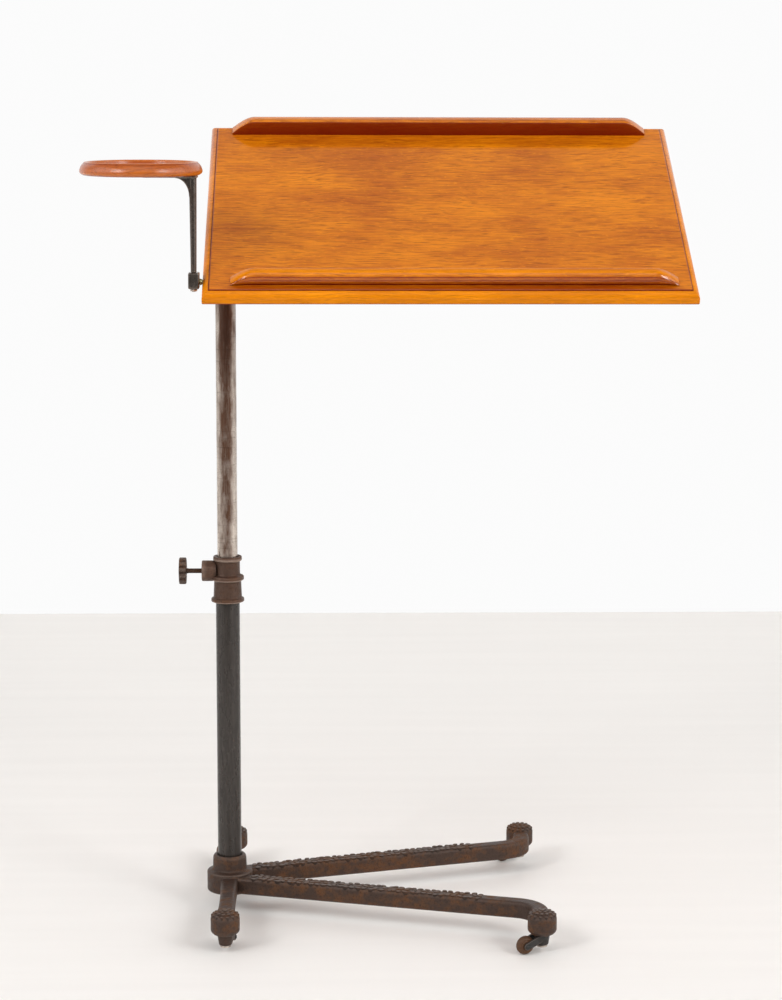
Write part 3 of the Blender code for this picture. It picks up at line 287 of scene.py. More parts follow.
def mark_proud(mesh, passes):
    """Height of each vertex over the mean of its neighbours, along its normal and in edge lengths, blurred."""
    points, normals = read(mesh.vertices, "co", 3), read(mesh.vertex_normals, "vector", 3)
    ends = read(mesh.edges, "vertices", 2, np.int32)
    origin, other = np.concatenate([ends, ends[:, ::-1]]).T
    degree = np.maximum(np.bincount(origin, minlength=len(points)), 1)

    def mean(values):
        return np.bincount(origin, weights=values[other], minlength=len(points)) / degree

    centre = np.column_stack([mean(axis) for axis in points.T])
    edge_length = np.linalg.norm(points[ends[:, 0]] - points[ends[:, 1]], axis=1).mean()
    proud = np.einsum("ij,ij->i", points - centre, normals) / edge_length
    for _ in range(passes):
        proud = 0.5 * proud + 0.5 * mean(proud)
    set_proud(mesh, np.clip(proud * PROUD_GAIN, -1.0, 1.0))


def make(name, grids, look, body, *nodes, marks=None, fuse=None, slot=None):
    """A piece from closed grids, fused where a voxel size and passes are given. It takes the material of its look
    and its body, and stands for its solids."""
    obj = piece(name, grids, marks)
    if fuse:
        fused(obj, *fuse)
    usual_slot, material = finish(look)
    slot = slot or usual_slot
    obj.data.materials.append(material)
    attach(obj, body)
    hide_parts(*nodes)


# Materials


class Shading:
    """A node tree and the sums that finishes are made of."""

    def __init__(self, tree):
        self.tree = tree

    def feed(self, node, inputs):
        """Link the inputs that are sockets and set the others."""
        for key, value in inputs.items():
            if isinstance(value, bpy.types.NodeSocket):
                self.tree.links.new(value, node.inputs[key])
            else:
                node.inputs[key].default_value = value
        return node

    def put(self, kind, inputs=None, **settings):
        """A new node with its settings and inputs."""
        node = self.tree.nodes.new(kind)
        for key, value in settings.items():
            setattr(node, key, value)
        return self.feed(node, inputs or {})

    def mixed(self, factor, first, second):
        """The colour between two others, each a socket or three numbers."""
        first, second = (c if isinstance(c, bpy.types.NodeSocket) else (*c, 1.0) for c in (first, second))
        return self.put("ShaderNodeMix", {0: factor, 6: first, 7: second}, data_type="RGBA").outputs[2]

    def number(self, operation, first, second, clamp=False):
        """The result of one sum."""
        inputs = {0: first, 1: second}
        return self.put("ShaderNodeMath", inputs, operation=operation, use_clamp=clamp).outputs[0]

    def times(self, first, second, clamp=False):
        return self.number("MULTIPLY", first, second, clamp)

    def plus(self, first, second, clamp=False):
        return self.number("ADD", first, second, clamp)

    def larger(self, first, second):
        return self.number("MAXIMUM", first, second)

    def between(self, value, low, high, to_low=0.0, to_high=1.0):
        """A value stretched from one span to another and held there."""
        inputs = {"Value": value, "From Min": low, "From Max": high, "To Min": to_low, "To Max": to_high}
        return self.put("ShaderNodeMapRange", inputs).outputs["Result"]

    def span(self, value, start, full, hold, end):
        """One within a span of a value and nothing outside it, with a ramp at either end."""
        return self.times(self.between(value, start, full), self.between(value, hold, end, 1.0, 0.0))

    def parts(self, vector):
        return self.put("ShaderNodeSeparateXYZ", {0: vector}).outputs

    def vectors(self, operation, first, second):
        return self.put("ShaderNodeVectorMath", {0: first, 1: second}, operation=operation).outputs

    def noise(self, vector, stretch, detail, roughness=0.55):
        """Noise on a vector stretched in cycles per metre."""
        scaled = self.vectors("MULTIPLY", vector, stretch)[0]
        inputs = {"Vector": scaled, "Scale": 1.0, "Detail": detail, "Roughness": roughness}
        return self.put("ShaderNodeTexNoise", inputs).outputs["Fac"]

    def rays(self):
        """Whether a ray comes from the camera, and whether it comes from metal or glass."""
        path = self.put("ShaderNodeLightPath").outputs
        return path["Is Camera Ray"], self.larger(path["Is Glossy Ray"], path["Is Transmission Ray"])

    def shared(self, group, vector):
        """The values of a shared effect."""
        return self.put("ShaderNodeGroup", {"Vector": vector}, node_tree=group).outputs

    def proud(self):
        """The marks on a piece."""
        return self.put("ShaderNodeAttribute", attribute_name="proud").outputs["Fac"]

    def bump(self, height, strength, distance):
        """A shading normal tilted by a height."""
        inputs = {"Height": height, "Strength": strength, "Distance": distance}
        return self.put("ShaderNodeBump", inputs).outputs["Normal"]


def effect(name, figure, words):
    """A node group that takes a vector and gives the values of a figure under their names."""
    tree = bpy.data.node_groups.new(name, "ShaderNodeTree")
    tree.interface.new_socket(name="Vector", in_out="INPUT", socket_type="NodeSocketVector")
    for word in words:
        tree.interface.new_socket(name=word, in_out="OUTPUT", socket_type="NodeSocketFloat")
    given, result = tree.nodes.new("NodeGroupInput"), tree.nodes.new("NodeGroupOutput")
    values = figure(Shading(tree), given.outputs["Vector"])
    for word, value in zip(words, values):
        tree.links.new(value, result.inputs[word])
    return tree


def oak_figure(net, vector):
    """Oak figure on a vector whose X runs along the grain: short streaks, open pores, ray flecks, broad golden
    patches, rosier ones and a height."""
    wave = net.noise(vector, (5.0, 9.0, 9.0), 2.0)
    sway = net.put("ShaderNodeCombineXYZ", {"Y": net.times(wave, 0.030), "Z": net.times(wave, 0.024)}).outputs[0]
    vector = net.vectors("ADD", vector, sway)[0]
    streak = net.between(net.noise(vector, (20.0, 240.0, 240.0), 5.0, 0.62), 0.36, 0.64)
    pores = net.between(net.noise(vector, (44.0, 640.0, 640.0), 2.0), 0.52, 0.66)
    flecks = net.between(net.noise(vector, (150.0, 300.0, 300.0), 1.0), 0.60, 0.74)
    broad = net.between(net.noise(vector, (7.0, 15.0, 15.0), 4.0, 0.6), 0.34, 0.66)
    rosy = net.between(net.noise(vector, (4.6, 8.0, 23.0), 3.0), 0.48, 0.66)
    return streak, pores, flecks, broad, rosy, net.number("SUBTRACT", net.times(streak, 0.4), pores)


def rust_figure(net, vector):
    """Weathering on iron: rust patches, fine specks and the pitted height of a sand casting."""
    patches = net.noise(vector, (19.0, 19.0, 26.0), 7.0, 0.64)
    mottle = net.noise(vector, (95.0, 95.0, 130.0), 4.0, 0.60)
    rust = net.between(net.plus(net.times(patches, 0.60), net.times(mottle, 0.40)), 0.47, 0.60)
    specks = net.between(net.noise(vector, (420.0, 420.0, 420.0), 3.0), 0.50, 0.70)
    grit = net.noise(vector, (650.0, 650.0, 650.0), 4.0, 0.6)
    lumps = net.noise(vector, (140.0, 140.0, 140.0), 3.0)
    return rust, specks, net.plus(net.times(grit, 0.45), lumps)


def rubbing_figure(net, vector):
    """Wear on a shaft that runs along Z: long brown stains, worn bright streaks and scratches round it."""
    stain = net.between(net.noise(vector, (110.0, 110.0, 34.0), 6.0, 0.62), 0.32, 0.68)
    streaks = net.between(net.noise(vector, (420.0, 420.0, 40.0), 5.0, 0.65), 0.46, 0.62)
    return stain, streaks, net.between(net.noise(vector, (26.0, 26.0, 480.0), 3.0), 0.58, 0.70)


def blank(name):
    """A new material, its shading, its Principled shader and its Object coordinates."""
    material = bpy.data.materials.new(name)
    material.use_nodes = True
    net = Shading(material.node_tree)
    return material, net, net.tree.nodes["Principled BSDF"], net.put("ShaderNodeTexCoord").outputs["Object"]


def varnished_oak(name, grain, light, dark, place, gloss, shade_strips=(), under=None, rubbed=0.15):
    """Oiled and varnished oak in its own frame: streaks and patches between two browns, dark pores and pale rays.
    Where its marks are low it has painted shade in the dark red of old varnish: in quirks, undercuts and faces
    turned from the light, with some old dirt in the quirks. Strips along the ledges paint their shade and
    reflection, each given as a span of X, a span of Y and an amount. Where its marks are high it has a painted
    highlight in a paler tone and only a share of its varnish, and it has hardly any varnish at the height of its
    underside."""
    material, net, shader, vector = blank(name)
    back = place.inverted()
    inputs = {"Vector": vector, "Location": back.translation, "Rotation": back.to_euler()}
    vector = net.put("ShaderNodeMapping", inputs).outputs[0]
    out, spot, proud = net.shared(grain, vector), net.parts(vector), net.proud()
    pale = np.minimum(np.multiply(light, (1.16, 1.28, 1.10)), 1.0)
    rose = np.multiply(dark, (1.02, 1.05, 2.2))
    deep = np.multiply(dark, 0.45)
    shade_and_old_varnish = np.multiply(dark, (0.42, 0.07, 0.10))
    colour = net.mixed(net.plus(net.times(out["Streak"], 0.42), net.times(out["Broad"], 0.62)), dark, light)
    for word, amount, other in (("Rosy", 0.55, rose), ("Flecks", 0.30, pale), ("Pores", 0.55, deep)):
        colour = net.mixed(net.times(out[word], amount), colour, other)
    # Painted shade and reflection of the ledges, in strips along them.
    for along, across, amount in shade_strips:
        strip = net.times(net.span(spot["X"], *along), net.span(spot["Y"], *across))
        colour = net.mixed(net.times(strip, amount), colour, shade_and_old_varnish)
    # Painted shade where the marks are below zero, partly old dirt in the board's quirk, and a painted highlight
    # where they are above.
    colour = net.mixed(net.between(proud, 0.0, -1.0), colour, shade_and_old_varnish)
    colour = net.mixed(net.between(proud, 0.0, 1.0, 0.0, 0.45), colour, pale)
    coat = net.between(proud, 0.2, 0.9, 1.0, rubbed)
    if under is not None:
        coat = net.times(coat, net.between(spot["Z"], under, under + 0.001, 0.1, 1.0))
    roughness = net.between(out["Pores"], 0.0, 1.0, 0.40, 0.55)
    inputs = {"Base Color": colour, "Roughness": roughness, "Specular IOR Level": 0.02}
    inputs |= {"Coat Weight": coat, "Coat Roughness": gloss, "Normal": net.bump(out["Height"], 0.16, 0.0004)}
    net.feed(shader, inputs)
    return material


def weathered_iron(name, rust, dark, brown, rubbed, amount, metal=0.45, sheen=0.48, pits=0.0018):
    """Old iron: dark skin, rust patches and pits of a given depth. It is paler where its marks are high and darker
    where they are low: rubbed edges and dirty hollows on most castings, and painted highlight lines and painted
    shade on the collar.
    """
    material, net, shader, vector = blank(name)
    out, proud = net.shared(rust, vector), net.proud()
    colour = net.mixed(net.times(out["Rust"], amount), dark, brown)
    colour = net.mixed(net.times(out["Specks"], 0.7), colour, np.multiply(dark, 0.5))
    colour = net.mixed(net.between(proud, 0.15, 0.9, 0.0, 0.65), colour, rubbed)
    colour = net.mixed(net.between(proud, -0.1, -0.9, 0.0, 0.8), colour, np.multiply(dark, 0.35))
    roughness = net.between(out["Rust"], 0.0, 1.0, sheen, sheen + 0.30)
    inputs = {"Base Color": colour, "Roughness": roughness, "Metallic": metal}
    net.feed(shader, inputs | {"Normal": net.bump(out["Height"], 0.6, pits)})
    return material


def rubbed_steel(name, rubbing, bright, stain, amount, roughness, gather_and_shade=None):
    """Bare steel gone brown: stains along it, bright streaks where hands rub, and scratches. Where a span of
    heights, an axis and a way are given, more stain and painted shade rise between the two heights and lie in a
    band down the side that faces that way from the axis, darkest near its top. On the pole the band faces the
    camera, and its darkest part, just under the board, is a painted shadow of the board."""
    material, net, shader, vector = blank(name)
    out = net.shared(rubbing, vector)
    stain_and_shade = out["Stain"]
    if gather_and_shade:
        low, high, axis, way = gather_and_shade
        height = net.parts(vector)["Z"]
        facing = net.vectors("DOT_PRODUCT", vector, way)["Value"]
        band = net.between(facing, axis.dot(way) + 0.0094, axis.dot(way) + 0.0124)
        # Stain and painted shade in the band on the side that faces the camera, and more of both towards the top.
        stain_and_shade = net.plus(net.times(stain_and_shade, 0.7), net.between(band, 0.0, 1.0, -0.03, 0.64))
        stain_and_shade = net.plus(stain_and_shade, net.between(height, low, high, -0.20, 0.26), clamp=True)
    cover = net.times(net.number("SUBTRACT", 1.0, net.times(out["Streaks"], 0.12)), amount)
    cover = net.times(cover, stain_and_shade, clamp=True)
    colour = net.mixed(cover, bright, stain)
    if gather_and_shade:
        # Painted shadow of the board, with some dirt, at the top of the band.
        board_shadow_and_grime = net.times(band, net.between(height, high - 0.13, high - 0.05, 0.0, 0.75))
        colour = net.mixed(board_shadow_and_grime, colour, np.multiply(stain, (0.42, 0.26, 0.13)))
    colour = net.mixed(net.times(out["Rings"], 0.35), colour, np.multiply(stain, 0.35))
    inputs = {"Base Color": colour, "Roughness": net.between(cover, 0.0, 1.0, roughness, roughness + 0.24)}
    inputs |= {"Metallic": net.between(cover, 0.0, 1.0, 1.0, 0.55), "Normal": net.bump(out["Rings"], 0.12, 0.0003)}
    net.feed(shader, inputs)
    return material


def scuffed_paint(name, rubbing, colour, scuff):
    """Dark stoved paint with faint scuffs along the tube."""
    material, net, shader, vector = blank(name)
    out = net.shared(rubbing, vector)
    shade = net.mixed(net.times(out["Streaks"], 0.35), colour, scuff)
    roughness = net.between(out["Stain"], 0.0, 1.0, 0.22, 0.36)
    inputs = {"Base Color": shade, "Roughness": roughness, "Metallic": 0.25}
    net.feed(shader, inputs | {"Normal": net.bump(out["Streaks"], 0.06, 0.0003)})
    return material


def ledge_shade_strips():
    """Strips of the board along its ledges that paint the ledges' shade and reflection on it: a span of X, a span
    of Y and an amount.
    """
    (left, front, _), (right, _, _) = extent("front_ledge", DESK)
    edge = extent("reading_board", DESK)[0][1] + sizes().moulding
    along = (left - 0.01, left + 0.01, right - 0.01, right + 0.01)
    strips = [(along, (edge, edge + 0.002, front, front + 0.002), 0.60)]
    (left, rear, _), (right, _, _) = extent("rear_ledge", DESK)
    along = (left, left + 0.03, right - 0.03, right)
    return strips + [(along, (rear - 0.028, rear - 0.022, rear, rear + 0.002), 0.24)]


FINISHES = {}
LEDGE_WOOD = DESK @ at(0.31, 0.17, 0.0)
TRAY_WOOD = at(0.7, 0.4, 0.2)
DARK_IRON, HORN_IRON = (0.150, 0.125, 0.108), (0.040, 0.038, 0.036)
OLIVE, OLIVE_STAIN = (0.40, 0.34, 0.17), (0.12, 0.10, 0.05)
# Heights between which the pole's stains and painted shade rise, its axis, and the way, towards the camera, that
# their band faces; the top of the band holds a painted shadow of the board
POLE_STAINS_AND_SHADE = (0.48, 0.82, COLUMN.translation, Vector((-0.05, -1.0, 0.0)))


def finish(name):
    """The slot and material of a finish; all are made together, from the colours in the panel, when the first
    is asked for."""
    if not FINISHES:
        tone = colours()
        grain = effect("oak grain", oak_figure, ("Streak", "Pores", "Flecks", "Broad", "Rosy", "Height"))
        weather = effect("iron weathering", rust_figure, ("Rust", "Specks", "Height"))
        rubbing = effect("shaft rubbing", rubbing_figure, ("Stain", "Streaks", "Rings"))
        oak, tray = (grain, tone["oak_light"], tone["oak_dark"]), (grain, tone["tray_light"], tone["tray_dark"])
        board_wood = (*oak, DESK, 0.09, ledge_shade_strips(), extent("reading_board", DESK)[0][2])
        iron, rust, rubbed, steel, stain, paint = (
            tone[key] for key in ("iron", "rust", "rubbed", "steel", "stain", "paint")
        )
        # Bare metal on the dark iron's rubbed edges, and painted highlight lines on the collar.
        bare_and_highlit, pale_iron, half_rust = np.multiply(rubbed, 2.4), np.multiply(iron, 1.8), np.multiply(rust, 0.5)
        wood, metal, bright = varnished_oak, weathered_iron, rubbed_steel
        FINISHES.update(
            board=("oak", wood("varnished oak board", *board_wood)),
            ledge=("oak", wood("varnished oak ledge", *oak, LEDGE_WOOD, 0.12)),
            tray=("tray_oak", wood("varnished tray wood", *tray, TRAY_WOOD, 0.26, rubbed=1.0)),
            iron=("cast_iron", metal("weathered cast iron", weather, iron, rust, rubbed, 0.72)),
            collar=("cast_iron", metal("rubbed collar iron", weather, pale_iron, rust, bare_and_highlit, 0.3, 0.6, 0.42)),
            dark_iron=("cast_iron", metal("dark iron", weather, DARK_IRON, iron, bare_and_highlit, 0.5, 0.9, 0.18, 0.0002)),
            horn=("cast_iron", metal("castor horn iron", weather, HORN_IRON, iron, rubbed, 0.25)),
            castor=("castor_brown", metal("castor wheel iron", weather, half_rust, rust, rubbed, 0.6, 0.2)),
            pole=("pole_steel", bright("rubbed steel pole", rubbing, steel, stain, 1.0, 0.20, POLE_STAINS_AND_SHADE)),
            steel=("hardware_steel", bright("plain steel", rubbing, steel, stain, 0.6, 0.30)),
            olive=("hardware_steel", bright("olive brass", rubbing, OLIVE, OLIVE_STAIN, 0.8, 0.34)),
            paint=("tube_paint", scuffed_paint("stoved tube paint", rubbing, paint, np.multiply(paint, 2.2))),
        )
    return FINISHES[name]


# Settings


def length(name, description, default, low, high):
    """A length in metres for the panel."""
    return FloatProperty(name=name, description=description, default=default, min=low, max=high, unit="LENGTH")


def tint(name, description, default):
    """A colour for the panel."""
    limits = {"min": 0.0, "max": 1.0, "size": 3}
    return FloatVectorProperty(name=name, description=description, default=default, subtype="COLOR", **limits)


class ReadingStandSizes(bpy.types.PropertyGroup):
    """Sizes of the worked details."""

    moulding: length("Edge moulding", "Width of the ovolo round the board", 0.008, 0.003, 0.02)
    quirk: length("Quirk", "Step between the ovolo and the board's face", 0.0015, 0.0005, 0.004)
    board_flat: length("Board flat", "Plain edge below the ovolo", 0.0065, 0.002, 0.012)
    ledge_run: length("Ledge end", "Length over which a ledge's end falls", 0.030, 0.01, 0.06)
    tray_lip: length("Tray lip", "Width of the bead on the tray's rim", 0.005, 0.002, 0.01)
    relief: length("Leg relief", "Height of the worn relief on the legs", 0.0013, 0.0, 0.003)
    relief_pitch: length("Relief pitch", "Distance from one raised leaf to the next", 0.0080, 0.006, 0.03)
    flutes: IntProperty(name="Grip flutes", description="Flutes round each thumbscrew", default=12, min=6, max=24)


class ReadingStandColours(bpy.types.PropertyGroup):
    """Colours of the finishes."""

    oak_light: tint("Oak, light", "Pale streaks of the board", (0.84, 0.255, 0.002))
    oak_dark: tint("Oak, dark", "Dark streaks of the board", (0.45, 0.095, 0.002))
    tray_light: tint("Tray, light", "Pale streaks of the tray", (0.55, 0.138, 0.010))
    tray_dark: tint("Tray, dark", "Dark streaks of the tray", (0.42, 0.085, 0.012))
    iron: tint("Iron", "Skin of the castings", (0.058, 0.033, 0.023))
    rust: tint("Rust", "Rust on the castings", (0.165, 0.068, 0.024))
    rubbed: tint("Rubbed iron", "Edges of the castings", (0.170, 0.128, 0.104))
    steel: tint("Steel", "Bright steel of the pole", (0.68, 0.60, 0.53))
    stain: tint("Stain", "Brown stains on the pole", (0.098, 0.044, 0.023))
    paint: tint("Paint", "Paint of the lower tube", (0.034, 0.028, 0.024))
    floor: tint("Floor", "Colour of the floor", (0.885, 0.862, 0.835))
    wall: tint("Wall", "Colour of the backdrop", (0.97, 0.97, 0.97))


def sizes():
    return bpy.context.scene.reading_stand_sizes


def colours():
    own = bpy.context.scene.reading_stand_colours
    return {key: tuple(getattr(own, key)) for key in ReadingStandColours.__annotations__}


# Pieces


class READINGSTAND_OT_board(bpy.types.Operator):
    """Lay the oak board's face, quirk and ovolo over its solid"""

    bl_idname = "reading_stand.board"
    bl_label = "Reading board"

    def execute(self, context):
        own = sizes()
        low, high = extent("reading_board", DESK)
        under, face, wide = low[2], high[2], own.moulding
        ovolo_low, ovolo_high = under + own.board_flat, face - own.quirk
        turn = np.linspace(0.0, np.pi / 2.0, 12)
        inset = wide * (1.0 - np.cos(turn))
        height = ovolo_low + (ovolo_high - ovolo_low) * np.sin(turn)
        # Rows of inset from the edge, height and mark, from the underside to the face. The marks paint light and
        # shade: a painted shadow under the lower arris, a painted highlight on the flat edge and the ovolo, and
        # painted shade in the quirk and next to it, with some dirt in the quirk.
        rows = [(0.020, under, 0.0), (0.0012, under, 0.0), (0.0004, under + 0.0003, -0.8)]
        rows += [(0.0, under + 0.0012, -0.6), (0.0, under + 0.0020, 0.9), (0.0, ovolo_low - 0.0005, 0.9)]
        rows += zip(inset, height, np.where(inset > 0.90 * wide, -0.6, 0.8))
        rows += [(wide + 0.0001, ovolo_high - 0.0006, -1.0), (wide + 0.0005, ovolo_high - 0.0006, -1.0)]
        rows += [(wide + 0.0007, face - 0.0004, -0.8), (wide + 0.0014, face, -0.3), (wide + 0.0024, face, 0.0)]
        inset, height, marks = np.array(rows).T
        plan = np.array([rounded_rectangle(low[:2] + drawn, high[:2] - drawn, 0.0014) for drawn in inset])
        grid = moved(capped(raised(plan, height[:, None, None])), DESK)
        # Painted highlights are kept to the front half of the edge; the painted shade goes all round.
        in_front = plan[-1, :, 1] < (low[1] + high[1]) / 2.0
        marks = np.pad(marks, 1)[:, None]
        marks = np.where(marks > 0.0, marks * in_front, marks)
        make("oak_board", [grid], "board", "desk", "reading_board", marks=[marks])
        return {"FINISHED"}


def front_section(depth, height):
    """Undercut foot, a face with two scratched lines, a small cove and a flat top that leans to the front. Its
    marks give painted shade in the undercut, in the two lines and down the face, which looks down and away from the
    light, and a painted highlight on the top.
    """
    return [
        (1.9, -0.6, 0.4, -1.0), (1.6, 1.6, 1.2, -1.0), (0.2, height * 0.20, 2.5, -0.60),
        (0.0, height * 0.44, 0.3, -0.50), (0.8, height * 0.47, 0.3, -1.0), (0.4, height * 0.50, 0.3, -0.45),
        (1.2, height * 0.68, 0.3, -0.45), (2.2, height * 0.70, 0.3, -1.0), (2.0, height * 0.74, 0.3, -0.4),
        (5.0, height * 0.93, 1.5, 0.3), (7.2, height, 1.0, 0.9), (depth - 1.0, height, 1.2, 0.3),
        (depth, -0.6, 0.3, -0.5),
    ]


def rear_section(depth, height):
    """Square front with a small arris, a slightly crowned top and a rounded back. Its marks give painted shade on
    the front face, which looks down onto the board.
    """
    return [
        (0.0, -0.6, 0.3, -1.0), (0.0, height * 0.88, 0.8, -0.85), (0.8, height - 0.3, 1.0, 0.0),
        (6.0, height, 4.0, -0.1), (depth, height * 0.95, 6.0, -0.1), (depth, -0.6, 0.3, 0.0),
    ]


def carry_ledge(node, section):
    """A section carried along X whose part above the board rises at each end by a quarter of a sine."""
    low, high = extent(node, DESK)
    face = extent("reading_board", DESK)[1][2]
    outline, marks = worked(section((high[1] - low[1]) / MM, (high[2] - face) / MM), 5, closed=True)
    share = np.linspace(0.0, 1.0, 20)
    run = sizes().ledge_run * share
    rise = 0.12 + 0.88 * np.sin(share * np.pi / 2.0)
    along = np.concatenate([low[0] + run, high[0] - run[::-1]])[:, None]
    rise = np.concatenate([rise, rise[::-1]])[:, None]
    across, up = outline.T
    up = np.where(up > 0.0, up * rise, up)
    grid = np.stack(np.broadcast_arrays(along, low[1] + across, face + up), axis=-1)
    make(f"oak_{node}", [moved(capped(grid), DESK)], "ledge", "desk", node, marks=[marks.T])


class READINGSTAND_OT_ledges(bpy.types.Operator):
    """Carry the two ledges' mouldings along the board, with falling ends"""

    bl_idname = "reading_stand.ledges"
    bl_label = "Ledges"

    def execute(self, context):
        carry_ledge("front_ledge", front_section)
        carry_ledge("rear_ledge", rear_section)
        return {"FINISHED"}


class READINGSTAND_OT_tray(bpy.types.Operator):
    """Turn the tray with its recess, rolled edge and beaded rim"""

    bl_idname = "reading_stand.tray"
    bl_label = "Tray"

    def execute(self, context):
        low, high = (np.array(corner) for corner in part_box("tray"))
        middle = (low + high) / 2.0
        radius, height, lip = (high[0] - low[0]) / 2.0 / MM, (high[2] - low[2]) / MM, sizes().tray_lip / MM
        rim = radius - 5.8
        inner, floor = rim - lip, height - 6.0
        # The marks in the last column paint light and shade: a painted reflection on the inner wall and across the
        # rim, a little paler on the floor, painted shade under the bead and along the bottom, and a painted
        # highlight on the lower round.
        rows = [
            (0.0, floor, 0.0, 0.2), (inner - 0.6, floor, 3.0, -0.2), (inner, height - 1.0, 1.0, 0.7),
            (inner + 1.2, height, 1.0, 1.0), (rim - 0.6, height, 0.7, 1.0), (rim + 0.4, height - 1.2, 0.6, -0.5),
            (rim + 3.6, height - 4.6, 4.0, -0.1), (radius, 5.6, 1.8, 0.1), (radius - 0.8, 2.6, 1.4, 0.9),
            (radius - 4.5, 0.0, 2.0, -0.4), (0.0, 0.0, 0.0, 0.0),
        ]
        profile, marks = worked(rows, 7)
        grid = turned(profile, 144, at(middle[0], middle[1], low[2]))
        make("turned_tray", [grid], "tray", "tray", "tray", marks=[marks])
        return {"FINISHED"}


class READINGSTAND_OT_tray_arm(bpy.types.Operator):
    """Forge the arm with its gusset and plate, and shape its block, stud and nut"""

    bl_idname = "reading_stand.tray_arm"
    bl_label = "Tray arm"

    def execute(self, context):
        low, high = extent("tray_arm", ARM)
        block_low, block_high = extent("pivot_block", ARM)
        plate = high[2] - 0.0032
        rod = [(0.0046, plate + 0.001), (0.0044, plate - 0.03), (0.0036, block_high[2] + 0.0004)]
        rod += [(0.0026, block_high[2] + 0.0003), (0.0026, low[2])]
        shells = [shaft(rod, 0.0006, 4, 40, ARM)]
        tongue = rounded_rectangle(low, high, [0.0105, 0.004, 0.004, 0.0105], 8)
        shells.append(prism(tongue, plate + 0.0006, high[2], 0.0005, ARM))
        wide, tall = 0.0170, 0.0225
        turn = np.linspace(np.pi / 2.0, 0.0, 14)
        foot = np.array([-0.0046 - wide, plate - tall])
        hollow = foot + ways(turn) * (wide, tall)
        gusset = np.vstack([hollow, [(0.0, foot[1] - 0.004), (0.0, plate + 0.001), (foot[0], plate + 0.001)]])
        shells.append(prism(gusset, -0.0032, 0.0032, 0.0008, ARM @ TO_MINUS_Y, (0.0, plate)))
        make("forged_arm", shells, "dark_iron", "tray", "tray_arm", fuse=FORGED)

        outline = rounded_rectangle(block_low, block_high, 0.0024, 8)
        block = prism(outline, block_low[2], block_high[2], 0.0020, ARM)
        make("pivot_block_iron", [block], "dark_iron", "tray_pivot", "pivot_block")

        low, high = extent("arm_nut", ARM)
        angle = circle(72)
        flat = np.cos(np.pi / 6.0) / np.cos((angle + np.pi / 6.0) % (np.pi / 3.0) - np.pi / 6.0)
        hexagon = (high[0] - low[0]) / 2.0 * flat[:, None] * ways(angle)
        make("arm_nut_steel", [prism(hexagon, low[2], high[2], 0.0004, ARM)], "steel", "tray", "arm_nut")

        low, high = extent("tray_stud", DESK)
        head, end, edge = low[0], high[0], extent("reading_board", DESK)[0][0]
        stud = [(0.0050, head), (0.0050, head + 0.0025), (0.0030, head + 0.0025), (0.0030, edge - 0.0031)]
        stud += [(0.0042, edge - 0.0031), (0.0034, edge - 0.0003), (0.0030, edge - 0.0003)]
        stud += [(0.0030, end - 0.003), (0.0, end)]
        place = DESK @ at(0.0, *(low + high)[1:] / 2.0) @ TO_PLUS_X
        make("tray_stud_steel", [shaft(stud, 0.0004, 4, 40, place)], "olive", "desk", "tray_stud")
        return {"FINISHED"}


def draw_tube(node, wall, name, look, body):
    low, high = extent(node, COLUMN)
    outer = (high[0] - low[0]) / 2.0
    section = rounded_rectangle((outer - wall, low[2]), (outer, high[2]), 0.0005, 4)
    make(name, [ring(section, 96, COLUMN)], look, body, node)


class READINGSTAND_OT_column(bpy.types.Operator):
    """Draw the painted tube and the rubbed steel pole"""

    bl_idname = "reading_stand.column"
    bl_label = "Tube and pole"

    def execute(self, context):
        draw_tube("lower_tube", 0.0021, "painted_tube", "paint", "base")
        draw_tube("inner_pole", 0.0025, "steel_pole", "pole", "slide")
        return {"FINISHED"}


def fluted_grip(radius, low, high, flutes, depth=0.0019):
    """A round grip whose rim rises and falls with the size of a sine, eased at both faces, and its marks."""
    rows = eased([(0.0, low), (radius, low), (radius, high), (0.0, high)], 0.0018, 6)
    angle = circle(flutes * 16)
    swell = np.abs(np.sin(angle * flutes / 2.0)) ** 0.6
    share = (rows[:, :1] / radius) ** 5
    grid = spun(rows[:, :1] - depth * (1.0 - swell) * share, rows[:, 1:], angle)
    return grid, (1.7 * swell - 1.0) * share


def thumbscrew(name, node, knob, neck, place, look):
    """A screw on +Z of its place, on a body of its own: a plain shank, a neck and a fluted grip with a button."""
    low, high = extent(node, place)
    end, radius = high[2], (high[0] - low[0]) / 2.0
    start = end - knob
    shank = [(0.0031, low[2]), (0.0031, start - 0.003), (neck, start - 0.0025), (neck, start + 0.001)]
    button = [(radius * 0.45, end - 0.0012), (radius * 0.42, end)]
    grip, marks = fluted_grip(radius, start, end - 0.0006, sizes().flutes)
    shells = [shaft(shank, 0.0005, 4, 36, place), moved(grip, place), shaft(button, 0.0008, 5, 48, place)]
    make(name, shells, look, node, node, marks=[-0.4, marks, 0.2])


